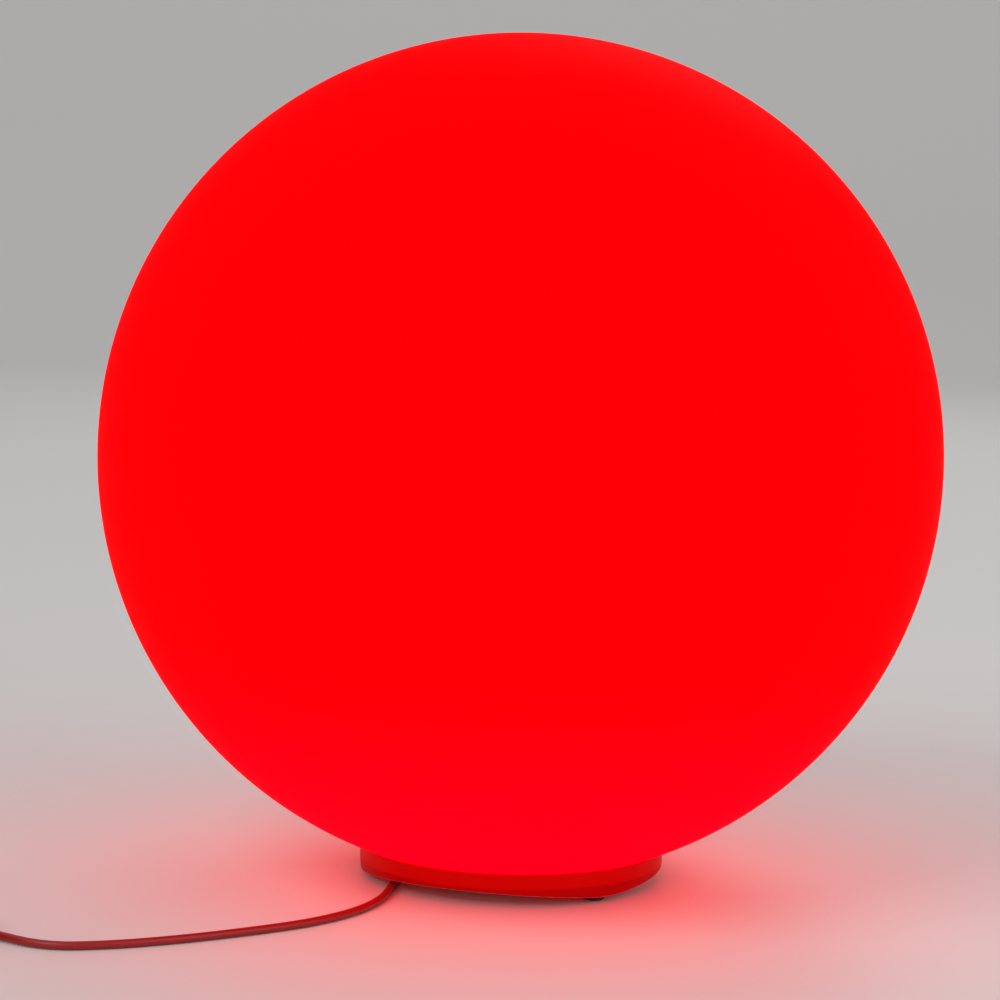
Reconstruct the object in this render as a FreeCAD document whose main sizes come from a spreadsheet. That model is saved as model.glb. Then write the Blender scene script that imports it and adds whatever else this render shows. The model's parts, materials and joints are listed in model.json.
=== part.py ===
import FreeCAD, Part
import math
import os
import re
import Sketcher

# A garden globe light: a seamless glowing ball on a low round base that stands on three feet.
# Everything is in millimetres. +Z is up, the light stands on z = 0 and its upright axis is Z.
# -Y is the front, and the cord leaves the base at the front left.

# The driving dimensions, each written once.
SIZES = {
    # globe
    "globe_radius": 150.0,  # outer radius of the ball
    "globe_wall": 2.5,
    "globe_lift": 1.5,  # how far the ball's lowest point would lie above the ground
    "neck_step": 4.8,  # from the outside of the base in to the neck's bore
    "neck_wall": 2.5,
    "neck_depth": 26.0,
    "lug_depth": 2.0,
    "lug_height": 4.0,
    "lug_span": 14.0,  # degrees of arc
    "lug_rise": 13.0,  # from the globe's lower edge to the lug
    "twist_angle": 30.0,  # degrees that unlock the globe
    # base
    "base_radius": 54.7,  # where the globe's outside meets the base
    "edge_gap": 0.3,  # between the globe's lower edge and the base
    "foot_taper": 0.3,  # how far the skirt draws in down to the feet
    "foot_clearance": 2.0,  # from the ground to the moulded feet
    "band_height": 5.0,  # upright upper band of the skirt
    "skirt_wall": 2.6,
    "arch_rise": 3.0,  # height of the arches between the feet
    "arch_radius": 355.0,
    "foot_count": 3,
    "base_turn": 8.0,  # degrees that the first arch is turned from +X
    "flange_thickness": 3.0,
    "plug_clearance": 0.4,
    "plug_wall": 4.8,
    "plug_rise": 29.7,  # from the flange to the top of the plug
    "deck_thickness": 3.0,
    "deck_rib_height": 6.0,
    "deck_rib_width": 1.8,
    "wire_hole": 5.0,
    "slot_clearance": 0.5,
    "slot_play": 2.0,  # degrees on each side of a lug
    "seal_cord": 1.3,  # section radius of the ring seal in the neck
    "seal_rise": 6.0,
    "running_gap": 0.05,
    "pad_radius": 3.5,
    "pad_recess": 1.2,
    "pad_boss": 4.6,
    "pad_inset": 6.6,  # from the feet's outside to the middle of a pad
    # bottom cover
    "cover_gap": 1.2,  # between the cover and the pads' bosses
    "cover_lap": 8.0,  # how far the cover reaches under the flange
    "cover_thickness": 2.0,
    "gasket_thickness": 1.0,
    "pillar_inset": 0.8,  # from the opening's edge to a screw pillar
    "pillar_radius": 3.6,
    "pillar_height": 8.0,
    "pilot_radius": 1.25,
    "pilot_depth": 9.0,
    "screw_clearance": 0.35,
    "counterbore": 0.8,
    "post_radius": 3.0,
    "post_inset": 1.0,  # from the control board's edge to a post
    "board_lift": 2.5,  # from the cord's bay to the control board
    "board_inset": 4.0,  # from the opening's edge to the control board
    "board_thickness": 1.6,
    "small_pilot": 0.9,
    "small_screw_length": 7.0,
    "bay_width": 16.0,
    "bay_wall": 1.6,
    "bay_reach": 4.0,  # from the upright axis to the gland's wall, away from the cord's way out
    "bay_inset": 0.6,  # from the opening's edge to the bay's corners
    # mode button and its switch
    "button_inset": 9.0,  # from the opening's edge to the button's collar
    "button_radius": 5.0,
    "button_thickness": 3.4,
    "button_drop": 1.7,  # how far the button stands out of the cover
    "button_travel": 0.6,
    "button_stem": 2.0,
    "collar_wall": 1.85,
    "collar_height": 5.5,
    "collar_top": 1.6,
    "clip_thickness": 0.6,
    "switch_size": 6.0,
    "switch_height": 3.5,
    "plunger_radius": 1.75,
    "capacitor_height": 10.0,
    "choke_height": 7.0,
    # light engine
    "lug_pass": 0.9,  # between the light engine and the lugs that pass it
    "spreader_thickness": 2.5,
    "led_board_gap": 3.2,  # between the LED board and the clear cover
    "led_screw_inset": 5.0,
    "led_size": 5.0,
    "led_height": 1.6,
    "outer_leds": 12,
    "inner_leds": 6,
    "led_ring_inset": 8.0,  # from the board's screws to the outer ring of LEDs
    "inner_ring_share": 0.587,  # the inner ring of LEDs as a share of the outer one
    "dome_ledge": 6.0,  # width of the clear cover's flange
    "dome_rise": 14.0,
    "dome_slope": 8.0,  # from the clear cover's foot in to its flat top
    "dome_wall": 1.8,
    "dome_flange": 2.5,
    "dome_gasket": 0.8,
    "lead_radius": 0.6,
    # cord
    "cord_radius": 1.4,
    "gland_gap": 0.25,  # between the lock nut and the cover
    "gland_radius": 3.6,
    "gland_shank": 3.0,
    "gland_cap_length": 3.5,
    "gland_flange": 2.2,
    "gland_nut_length": 2.4,
    "terminal_inset": 6.0,  # from the control board's edge to the terminal block
    "terminal_length": 8.0,
    "washer_thickness": 0.8,
    "coil_radius": 16.2,  # at the middle of the turns
    "coil_pitch": 3.3,  # from a turn to the one beside it
    "layer_pitch": 3.25,  # from a layer of turns to the next
    "tie_thickness": 0.4,
    "tie_width": 6.0,
    # connector
    "ring_radius": 7.2,
    "ring_length": 15.0,
    "ring_lip": 2.0,
    "connector_radius": 5.2,
    "connector_length": 17.0,
    "connector_flange": 6.3,
    "boot_length": 12.0,
    "pin_radius": 0.9,
    "pin_length": 8.0,
    "pin_spacing": 3.6,
}

# Heights and radii that follow from the driving dimensions.
PLACES = {
    "globe_level": "globe_radius + globe_lift",
    "inner_radius": "globe_radius - globe_wall",
    "edge_level": "globe_level - sqrt(globe_radius^2 - base_radius^2)",
    "neck_bore": "base_radius - neck_step",
    "neck_outer": "neck_bore + neck_wall",
    "neck_top": "edge_level + neck_depth",
    "neck_root": "globe_level - sqrt(inner_radius^2 - neck_outer^2)",
    "lug_bottom": "edge_level + lug_rise",
    "lug_top": "lug_bottom + lug_height",
    "plug_radius": "neck_bore - plug_clearance",
    "cavity_radius": "plug_radius - plug_wall",
    "foot_radius": "base_radius - foot_taper",
    "pad_place": "foot_radius - pad_inset",
    "cover_radius": "pad_place - pad_boss - cover_gap",
    "opening_radius": "cover_radius - cover_lap",
    "screw_place": "opening_radius + pillar_inset + pillar_radius",
    "flange_top": "edge_level - edge_gap",
    "flange_level": "flange_top - flange_thickness",
    "band_level": "flange_top - band_height",
    "arch_top": "foot_clearance + arch_rise",
    "plug_height": "flange_top + plug_rise",
    "deck_level": "plug_height - deck_thickness",
    "slot_floor": "neck_bore - lug_depth - slot_clearance",
    "slot_bottom": "lug_bottom - slot_clearance",
    "seal_level": "edge_level + seal_rise",
    "seal_radius": "neck_bore - running_gap - seal_cord",
    "cover_top": "flange_level - gasket_thickness",
    "cover_level": "cover_top - cover_thickness",
    "gland_hex": "gland_radius * 1.9 / sqrt(3)",
    "gland_level": "cover_top + gland_gap + gland_hex",
    "bay_half": "(bay_width + bay_wall) / 2",
    "bay_end": "sqrt((opening_radius - bay_inset)^2 - bay_half^2) - bay_wall",
    "bay_ceiling": "gland_level + gland_radius + pillar_inset",
    "board_level": "bay_ceiling + bay_wall + board_lift",
    "board_radius": "opening_radius - board_inset",
    "post_place": "board_radius - post_radius - post_inset",
    "terminal_place": "board_radius - terminal_inset - terminal_length / 2",
    "collar_radius": "button_radius + 3 * running_gap + collar_wall",
    "button_place": "opening_radius - button_inset - collar_radius",
    "collar_level": "cover_level + collar_height",
    "button_level": "cover_level - button_drop",
    "stem_top": "collar_level + clip_thickness + 10 * running_gap",
    "board_top": "board_level + board_thickness",
    "switch_level": "board_level - switch_height",
    "spreader_top": "plug_height + spreader_thickness",
    "led_board_top": "spreader_top + board_thickness",
    "dome_level": "spreader_top + dome_gasket",
    "dome_flange_top": "dome_level + dome_flange",
    "spreader_radius": "neck_bore - lug_depth - lug_pass",
    "dome_radius": "spreader_radius - dome_ledge",
    "dome_top": "dome_radius - dome_slope",
    "dome_mouth": "dome_radius - dome_wall",
    "dome_screw_place": "(dome_radius + spreader_radius) / 2",
    "led_board_radius": "dome_mouth - led_board_gap",
    "led_screw_place": "led_board_radius - led_screw_inset",
    "outer_led_ring": "led_screw_place - led_ring_inset",
    "inner_led_ring": "outer_led_ring * inner_ring_share",
    "gland_face": "bay_reach - washer_thickness - gland_flange - gland_cap_length",
    "cord_bore": "cord_radius + 2 * running_gap",
    "coil_floor": "tie_thickness + running_gap + cord_radius",
}

# The cord's route from the gland along the floor, as (x, y, z) of its centreline.
# The coil lies to the left of it, wound to the left, and the connector lies behind the coil.
COIL_CENTRE = (-197.0, -121.0)
COIL_ENTRY = 58.0  # degrees round the coil's centre, where the turns start and end
TURNS_PER_LAYER = 3
LAYERS = 4
CONNECTOR_PLACE = (-204.0, -73.0)  # where the cord enters its boot, which points to +Y
LEAD_ROUTE = [
    (-24.5, -3.0, 5.4),
    (-33.6, -8.9, 2.0),
    (-39.4, -18.0, 1.5),
    (-42.0, -31.5, 1.5),
    (-43.6, -50.0, 1.5),
    (-51.5, -70.5, 1.5),
    (-66.5, -88.5, 1.5),
    (-86.5, -102.5, 1.5),
    (-107.5, -115.0, 1.5),
    (-129.0, -124.5, 1.5),
    (-149.5, -128.0, 1.5),
]
TAIL_ROUTE = [
    (-200.8, -90.2, 8.9),
    (-204.0, -81.5, 7.2),
]
FIRST_RUN = 11.0  # of the lead, straight out of the gland
LAST_RUN = 16.0  # of the lead, straight on to the coil
TAIL_RUN = 8.0  # straight on from the coil

doc = FreeCAD.newDocument("garden_globe_light")


# ---------------------------------------------------------------- sheets and expressions


def fill_sheet(name, cells):
    """A sheet with one row for each alias, its name beside its value."""
    sheet = doc.addObject("Spreadsheet::Sheet", name)
    for row, (alias, content) in enumerate(cells.items(), 1):
        sheet.set(f"A{row}", alias.replace("_", " "))
        sheet.set(f"B{row}", content)
        sheet.setAlias(f"B{row}", alias)
    doc.recompute()
    return sheet


def bound(text):
    """The expression with each alias led by the name of its sheet."""

    def led(word):
        alias = word.group(0)
        if alias in SIZES:
            return f"sizes.{alias}"
        return f"places.{alias}" if alias in PLACES else alias

    return re.sub(r"[a-z_]+", led, str(text))


sizes = fill_sheet("sizes", {alias: str(value) for alias, value in SIZES.items()})
places = fill_sheet("places", {alias: "=" + bound(rule) for alias, rule in PLACES.items()})


def number(text):
    """The value of an expression as a plain number."""
    value = sizes.evalExpression(bound(text))
    return float(getattr(value, "Value", value))


# ---------------------------------------------------------------- sketches and features


def new_body(label):
    return doc.addObject("PartDesign::Body", label)


def origin_of(body, role):
    return next(f for f in body.Origin.OriginFeatures if f.Role == role)


def sketch_on(body, role, name, lift="0", turn="0"):
    """A sketch on an origin plane, lifted along Z or turned about Z."""
    sketch = body.newObject("Sketcher::SketchObject", name)
    sketch.AttachmentSupport = [(origin_of(body, role), "")]
    sketch.MapMode = "FlatFace"
    if role == "XY_Plane":
        sketch.setExpression("AttachmentOffset.Base.z", bound(lift))
    else:
        sketch.AttachmentOffset = FreeCAD.Placement(
            FreeCAD.Vector(0, 0, 0), FreeCAD.Rotation(FreeCAD.Vector(0, 1, 0), 1.0)
        )
        sketch.setExpression("AttachmentOffset.Rotation.Angle", bound(turn))
    return sketch


def fix(sketch, kind, *where_and_rule):
    """A dimension of the sketch that follows an expression."""
    *where, rule = where_and_rule
    made = sketch.addConstraint(Sketcher.Constraint(kind, *where, number(rule)))
    sketch.setExpression(f"Constraints[{made}]", bound(rule))


def draw_outline(sketch, corners):
    """A closed outline. Each corner is (x, y), or (x, y, radius) where an arc leads on from it.

    A positive radius turns to the left on the way to the next corner, and a negative one to the right.
    """
    points = [FreeCAD.Vector(number(c[0]), number(c[1]), 0) for c in corners]
    ends = []
    for i, corner in enumerate(corners):
        here, there = points[i], points[(i + 1) % len(corners)]
        if len(corner) == 2:
            made = sketch.addGeometry(Part.LineSegment(here, there), False)
            ends.append((made, 1, 2))
            continue
        radius = number(corner[2])
        half = (there - here) * 0.5
        side = FreeCAD.Vector(-half.y, half.x, 0).normalize()
        reach = math.sqrt(max(radius**2 - half.Length**2, 0.0))
        centre = here + half + side * math.copysign(reach, radius)
        start, end = (here, there) if radius > 0 else (there, here)
        first = math.atan2(start.y - centre.y, start.x - centre.x)
        last = math.atan2(end.y - centre.y, end.x - centre.x)
        circle = Part.Circle(centre, FreeCAD.Vector(0, 0, 1), abs(radius))
        made = sketch.addGeometry(Part.ArcOfCircle(circle, first, last), False)
        ends.append((made, 1, 2) if radius > 0 else (made, 2, 1))
    for i, (line, _, end) in enumerate(ends):
        after, start, _ = ends[(i + 1) % len(ends)]
        sketch.addConstraint(Sketcher.Constraint("Coincident", line, end, after, start))
    for (line, start, _), corner in zip(ends, corners):
        fix(sketch, "DistanceX", -1, 1, line, start, corner[0])
        fix(sketch, "DistanceY", -1, 1, line, start, corner[1])
        if len(corner) == 3:
            fix(sketch, "Radius", line, str(corner[2]).lstrip("-"))


def draw_circle(sketch, across, along, radius):
    centre = FreeCAD.Vector(number(across), number(along), 0)
    circle = Part.Circle(centre, FreeCAD.Vector(0, 0, 1), number(radius))
    made = sketch.addGeometry(circle, False)
    fix(sketch, "DistanceX", -1, 1, made, 3, across)
    fix(sketch, "DistanceY", -1, 1, made, 3, along)
    fix(sketch, "Radius", made, radius)


def box_corners(low_x, high_x, low_y, high_y):
    return [(low_x, low_y), (high_x, low_y), (high_x, high_y), (low_x, high_y)]


def revolve(body, name, corners, kind="Revolution", angle="360", turn="0"):
    """Turns an outline, (radius, height), about Z. A part turn is centred on the angle turn."""
    sketch = sketch_on(body, "XZ_Plane", f"{name}_outline", turn=turn)
    draw_outline(sketch, corners)
    feature = body.newObject(f"PartDesign::{kind}", name)
    feature.Profile = sketch
    feature.ReferenceAxis = (sketch, ["V_Axis"])
    feature.Midplane = angle != "360"
    feature.setExpression("Angle", bound(angle))
    return feature


def extrude(body, name, sketch, length, kind="Pad", down=False):
    feature = body.newObject(f"PartDesign::{kind}", name)
    feature.Profile = sketch
    feature.Reversed = down
    feature.setExpression("Length", bound(length))
    return feature


def round_post(body, name, place, angle, radius, low, high, kind="Pad"):
    """An upright round post, or a round hole, at a radius and angle from the axis of the light."""
    sketch = sketch_on(body, "XY_Plane", f"{name}_outline", lift=low)
    draw_circle(sketch, f"({place}) * cos({angle})", f"({place}) * sin({angle})", radius)
    return extrude(body, name, sketch, f"({high}) - ({low})", kind, down=kind == "Pocket")


def upright_box(body, name, corners, low, high, kind="Pad"):
    sketch = sketch_on(body, "XY_Plane", f"{name}_outline", lift=low)
    draw_outline(sketch, corners)
    return extrude(body, name, sketch, f"({high}) - ({low})", kind, down=kind == "Pocket")


def around(body, feature, count):
    """Repeats a feature evenly round the axis of the light."""
    pattern = body.newObject("PartDesign::PolarPattern", f"{feature.Name}_ring")
    pattern.Originals = [feature]
    pattern.Axis = (origin_of(body, "Z_Axis"), [""])
    pattern.Angle = 360
    pattern.setExpression("Occurrences", bound(count))
    body.Tip = pattern
    return pattern


def turned_with_base(body):
    """Turns a body about Z with the three feet."""
    body.Placement.Rotation = FreeCAD.Rotation(FreeCAD.Vector(0, 0, 1), 1.0)
    body.setExpression("Placement.Rotation.Angle", bound("base_turn"))


# ---------------------------------------------------------------- plain solids


def vector(x, y, z):
    return FreeCAD.Vector(number(x), number(y), number(z))


def solid_node(label, shape):
    """A sub-part whose solids are made in this file from the sheet's sizes."""
    node = doc.addObject("Part::Feature", label)
    node.Shape = shape
    node.Placement = shape.Placement
    return node


def group(solids):
    return Part.makeCompound(list(solids))


def polar(place, angle, height):
    turn = math.radians(angle)
    return FreeCAD.Vector(place * math.cos(turn), place * math.sin(turn), height)


def block(centre, width, depth, low, high):
    corner = FreeCAD.Vector(centre.x - width / 2, centre.y - depth / 2, low)
    return Part.makeBox(width, depth, high - low, corner)


def pan_screw(seat, length, size, down=True):
    """A pan-head screw with a six-sided socket. The head lies on seat, and the shank goes on from it."""
    way = FreeCAD.Vector(0, 0, -1 if down else 1)
    head_radius = size * 2.1
    head_height = size * 1.4
    head = Part.makeCylinder(head_radius, head_height * 0.6, seat, way * -1)
    crown_seat = seat - way * head_height * 0.6
    crown = Part.makeCone(head_radius, head_radius * 0.7, head_height * 0.4, crown_seat, way * -1)
    shank = Part.makeCylinder(size, length, seat, way)
    socket_seat = seat - way * head_height * 0.45
    corners = [polar(size * 0.95, 60 * k, 0) + socket_seat for k in range(7)]
    socket = Part.Face(Part.makePolygon(corners)).extrude(way * -head_height)
    return head.multiFuse([crown, shank]).cut(socket)


def hex_prism(centre, across_flats, length):
    """A six-sided prism along +X from centre."""
    reach = across_flats / math.sqrt(3)
    corners = [
        centre
        + FreeCAD.Vector(0, reach * math.cos(math.radians(60 * k)), reach * math.sin(math.radians(60 * k)))
        for k in range(7)
    ]
    return Part.Face(Part.makePolygon(corners)).extrude(FreeCAD.Vector(length, 0, 0))


# ---------------------------------------------------------------- globe


def make_globe_shell():
    """The ball, open at its foot, with a neck turned inwards that carries the bayonet lugs."""
    body = new_body("globe_shell")
    revolve(
        body,
        "shell",
        [
            ("0", "globe_level + globe_radius", "-globe_radius"),
            ("base_radius", "edge_level"),
            ("neck_bore", "edge_level"),
            ("neck_bore", "neck_top"),
            ("neck_outer", "neck_top"),
            ("neck_outer", "neck_root", "inner_radius"),
            ("0", "globe_level + inner_radius"),
        ],
    )
    lug = revolve(
        body,
        "lug",
        box_corners("neck_bore - lug_depth", "neck_bore + neck_wall / 2", "lug_bottom", "lug_top"),
        angle="lug_span",
    )
    around(body, lug, "foot_count")
    turned_with_base(body)


# ---------------------------------------------------------------- base


def make_base_cup():
    """The skirt with its feet, the flange, and the plug that rises into the globe's neck."""
    body = new_body("base_cup")
    revolve(
        body,
        "cup",
        [
            ("wire_hole", "deck_level"),
            ("cavity_radius", "deck_level"),
            ("cavity_radius", "flange_top"),
            ("opening_radius", "flange_top"),
            ("opening_radius", "flange_level"),
            ("base_radius - skirt_wall", "flange_level"),
            ("foot_radius - skirt_wall", "foot_clearance"),
            ("foot_radius", "foot_clearance"),
            ("base_radius", "band_level"),
            ("base_radius", "flange_top"),
            ("plug_radius", "flange_top"),
            ("plug_radius", "plug_height"),
            ("wire_hole", "plug_height"),
        ],
    )
    revolve(
        body,
        "seal_groove",
        box_corners(
            "seal_radius - seal_cord",
            "plug_radius + plug_clearance",
            "seal_level - seal_cord - running_gap",
            "seal_level + seal_cord + running_gap",
        ),
        kind="Groove",
    )
    entry = revolve(
        body,
        "slot_entry",
        box_corners("slot_floor", "plug_radius + plug_clearance", "slot_bottom", "plug_height + 1"),
        kind="Groove",
        angle="lug_span + 2 * slot_play",
        turn="twist_angle",
    )
    around(body, entry, "foot_count")
    leg = revolve(
        body,
        "slot_leg",
        box_corners(
            "slot_floor", "plug_radius + plug_clearance", "slot_bottom", "lug_top + slot_clearance"
        ),
        kind="Groove",
        angle="lug_span + 2 * slot_play + twist_angle",
        turn="twist_angle / 2",
    )
    around(body, leg, "foot_count")
    cut_arches(body)
    pad_seat = round_post(
        body, "pad_seat", "pad_place", "180 / foot_count", "pad_boss", "foot_clearance", "flange_level"
    )
    pad_seat.Refine = False
    around(body, pad_seat, "foot_count").Refine = False
    recess = round_post(
        body,
        "pad_socket",
        "pad_place",
        "180 / foot_count",
        "pad_radius + 2 * running_gap",
        "0",
        "foot_clearance + pad_recess",
        kind="Pocket",
    )
    around(body, recess, "foot_count")
    pillar = round_post(
        body,
        "pillar",
        "screw_place",
        "45",
        "pillar_radius",
        "flange_level",
        "flange_top + pillar_height",
    )
    around(body, pillar, "4")
    pilot = round_post(
        body,
        "pillar_hole",
        "screw_place",
        "45",
        "pilot_radius",
        "flange_level",
        "flange_level + pilot_depth",
        kind="Pocket",
    )
    around(body, pilot, "4")
    add_deck_bosses(body)
    turned_with_base(body)


def cut_arches(body):
    """The three low arches between the feet, each a scoop of a large circle."""
    sketch = sketch_on(body, "YZ_Plane", "arch_outline")
    draw_circle(sketch, "0", "arch_top - arch_radius", "arch_radius")
    arch = extrude(body, "arch", sketch, "base_radius + 1", kind="Pocket", down=True)
    around(body, arch, "foot_count")


def add_deck_bosses(body):
    """Ribs and screw bosses under the deck, which carry the light engine."""
    rib = upright_box(
        body,
        "deck_rib",
        box_corners(
            "wire_hole + 4", "cavity_radius + 1", "-deck_rib_width / 2", "deck_rib_width / 2"
        ),
        "deck_level - deck_rib_height",
        "deck_level",
    )
    around(body, rib, "6")
    boss = round_post(
        body,
        "deck_boss",
        "led_screw_place",
        "90",
        "pillar_radius",
        "deck_level - deck_rib_height",
        "deck_level",
    )
    around(body, boss, "foot_count")
    hole = round_post(
        body,
        "deck_hole",
        "led_screw_place",
        "90",
        "pilot_radius",
        "deck_level - deck_rib_height + 1",
        "plug_height",
        kind="Pocket",
    )
    around(body, hole, "foot_count")


def make_neck_seal():
    """A lip seal: square at the back, and tapered to a narrow face on the neck's bore."""
    body = new_body("neck_seal")
    revolve(
        body,
        "seal",
        [
            ("seal_radius - seal_cord", "seal_level - seal_cord"),
            ("seal_radius", "seal_level - seal_cord"),
            ("seal_radius + seal_cord", "seal_level - seal_cord / 3"),
            ("seal_radius + seal_cord", "seal_level + seal_cord / 3"),
            ("seal_radius", "seal_level + seal_cord"),
            ("seal_radius - seal_cord", "seal_level + seal_cord"),
        ],
    )


def make_foot_pads():
    """A rubber pad under each foot, with a dished edge where it meets the ground."""
    for k in range(int(SIZES["foot_count"])):
        body = new_body(f"foot_pad_{k + 1}")
        revolve(
            body,
            f"pad_{k + 1}",
            [
                ("0", "0"),
                ("pad_radius - 0.4", "0"),
                ("pad_radius", "0.4"),
                ("pad_radius", "foot_clearance + pad_recess"),
                ("0", "foot_clearance + pad_recess"),
            ],
        )
        angle = f"base_turn + 180 / foot_count + {k} * 360 / foot_count"
        body.setExpression("Placement.Base.x", bound(f"pad_place * cos({angle})"))
        body.setExpression("Placement.Base.y", bound(f"pad_place * sin({angle})"))


# ---------------------------------------------------------------- bottom cover


def make_bottom_cover():
    """The round cover under the plug, with the cord's bay, the button's collar and the board's posts."""
    body = new_body("bottom_cover")
    revolve(
        body,
        "plate",
        [
            ("0", "cover_level"),
            ("cover_radius - 0.6", "cover_level"),
            ("cover_radius", "cover_level + 0.6"),
            ("cover_radius", "cover_top"),
            ("0", "cover_top"),
        ],
    )
    hole = round_post(
        body,
        "cover_hole",
        "screw_place",
        "45 + base_turn",
        "pilot_radius + screw_clearance",
        "cover_level - 1",
        "cover_top + 1",
        kind="Pocket",
    )
    around(body, hole, "4")
    counterbore = round_post(
        body,
        "cover_counterbore",
        "screw_place",
        "45 + base_turn",
        "pilot_radius * 2.1 + screw_clearance",
        "cover_level - 1",
        "cover_level + counterbore",
        kind="Pocket",
    )
    around(body, counterbore, "4")
    post = round_post(
        body,
        "board_post",
        "post_place",
        "45",
        "post_radius",
        "cover_level + cover_thickness / 2",
        "board_level",
    )
    around(body, post, "4")
    post_hole = round_post(
        body,
        "board_post_hole",
        "post_place",
        "45",
        "small_pilot",
        "board_level - small_screw_length",
        "board_level",
        kind="Pocket",
    )
    around(body, post_hole, "4")
    upright_box(
        body,
        "bay_walls",
        box_corners("-bay_end - bay_wall", "bay_reach + bay_wall", "-bay_half", "bay_half"),
        "cover_level",
        "bay_ceiling + bay_wall",
    )
    upright_box(
        body,
        "bay",
        box_corners("-bay_end", "bay_reach", "bay_wall - bay_half", "bay_half - bay_wall"),
        "cover_level",
        "bay_ceiling",
        kind="Pocket",
    )
    round_post(body, "collar", "button_place", "-90", "collar_radius", "cover_level", "collar_level")
    round_post(
        body,
        "button_well",
        "button_place",
        "-90",
        "button_radius + 3 * running_gap",
        "cover_level",
        "collar_level - collar_top",
        kind="Pocket",
    )
    round_post(
        body,
        "stem_bore",
        "button_place",
        "-90",
        "button_stem + running_gap",
        "cover_level",
        "collar_level",
        kind="Pocket",
    )
    sketch = sketch_on(body, "YZ_Plane", "gland_hole_outline")
    draw_circle(sketch, "0", "gland_level", "gland_shank + running_gap")
    extrude(body, "gland_hole", sketch, "bay_reach + bay_wall + 1", kind="Pocket", down=True)


def make_cover_gasket():
    body = new_body("cover_gasket")
    revolve(
        body,
        "gasket",
        box_corners("opening_radius + 0.6", "cover_radius - 0.2", "cover_top", "flange_level"),
    )
    hole = round_post(
        body,
        "gasket_hole",
        "screw_place",
        "45 + base_turn",
        "pilot_radius + 2 * screw_clearance",
        "cover_top - 1",
        "flange_level + 1",
        kind="Pocket",
    )
    around(body, hole, "4")


def make_cover_screws():
    seat_level = number("cover_level + counterbore")
    length = number("pilot_depth + gasket_thickness + cover_thickness - counterbore - 1")
    screws = [
        pan_screw(
            polar(number("screw_place"), 45 + number("base_turn") + 90 * k, seat_level),
            length,
            number("pilot_radius"),
            down=False,
        )
        for k in range(4)
    ]
    solid_node("cover_screws", group(screws))


def make_mode_button():
    """The button's cap and stem, with the groove that its clip snaps into."""
    body = new_body("mode_button")
    revolve(
        body,
        "button",
        [
            ("0", "button_level"),
            ("button_radius - 0.6", "button_level"),
            ("button_radius", "button_level + 0.6"),
            ("button_radius", "button_level + button_thickness"),
            ("button_stem", "button_level + button_thickness"),
            ("button_stem", "collar_level + running_gap"),
            ("button_stem - 0.4", "collar_level + running_gap"),
            ("button_stem - 0.4", "collar_level + running_gap + clip_thickness"),
            ("button_stem", "collar_level + running_gap + clip_thickness"),
            ("button_stem", "stem_top"),
            ("0", "stem_top"),
        ],
    )
    body.setExpression("Placement.Base.y", bound("-button_place"))


def make_button_clip():
    """An open snap ring on the button's stem."""
    centre = vector("0", "-button_place", "collar_level + running_gap")
    thickness = number("clip_thickness")
    ring = Part.makeCylinder(number("button_stem + 1.4"), thickness, centre)
    ring = ring.cut(Part.makeCylinder(number("button_stem - 0.4"), thickness, centre))
    mouth_place = centre + vector("button_stem + 0.7", "0", "0")
    mouth = block(mouth_place, number("button_stem + 1.4"), 1.8, centre.z, centre.z + thickness)
    solid_node("button_clip", ring.cut(mouth))


def make_button_seal():
    centre = vector("0", "-button_place", "collar_level - collar_top - gasket_thickness / 2")
    height = number("gasket_thickness / 2")
    ring = Part.makeCylinder(number("button_radius"), height, centre)
    solid_node("button_seal", ring.cut(Part.makeCylinder(number("button_stem + 0.3"), height, centre)))


# ---------------------------------------------------------------- control board


def make_control_board():
    body = new_body("control_board")
    revolve(body, "board", box_corners("0", "board_radius", "board_level", "board_top"))
    hole = round_post(
        body,
        "board_hole",
        "post_place",
        "45",
        "small_pilot + screw_clearance",
        "board_level - 1",
        "board_top + 1",
        kind="Pocket",
    )
    around(body, hole, "4")


def make_board_screws():
    screws = [
        pan_screw(
            polar(number("post_place"), 45 + 90 * k, number("board_top")),
            number("small_screw_length"),
            number("small_pilot"),
        )
        for k in range(4)
    ]
    solid_node("board_screws", group(screws))


def make_terminal_block():
    """A two-way screw terminal under the board, whose mouths face the gland."""
    top = number("board_level")
    low = number("gland_level - cord_radius")
    length = number("terminal_length")
    centre = vector("terminal_place", "0", "0")
    body = block(centre, length, length * 1.3, low, top)
    for side in (-1, 1):
        mouth = centre + FreeCAD.Vector(0, side * length * 0.325, 0)
        wire_mouth = mouth - FreeCAD.Vector(length / 4, 0, 0)
        body = body.cut(block(wire_mouth, length * 0.55, length * 0.4, low + 1.4, low + 5.0))
        body = body.cut(Part.makeCylinder(1.5, 1.2, mouth + FreeCAD.Vector(0, 0, low)))
    solid_node("terminal_block", body)


def make_control_chip():
    """The controller in its flat case, with eight legs, on top of the board."""
    top = number("board_top")
    centre = vector("-board_radius * 0.43", "board_radius * 0.3", "0")
    chip = block(centre, 3.9, 4.9, top + 0.15, top + 1.6)
    legs = [
        block(centre + FreeCAD.Vector(0, 1.27 * (k - 1.5), 0), 6.0, 0.4, top, top + 0.5) for k in range(4)
    ]
    solid_node("control_chip", chip.multiFuse(legs))


def make_driver_transistors():
    """One flat power transistor for each colour."""
    top = number("board_top")
    cases = []
    for k in range(3):
        centre = vector("-board_radius * 0.5", f"board_radius * (0.22 * {k} - 0.33)", "0")
        case = block(centre, 6.0, 5.2, top, top + 2.3)
        tab = block(centre + FreeCAD.Vector(3.6, 0, 0), 2.4, 4.4, top, top + 0.5)
        cases.append(case.fuse(tab))
    solid_node("driver_transistors", group(cases))


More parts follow.
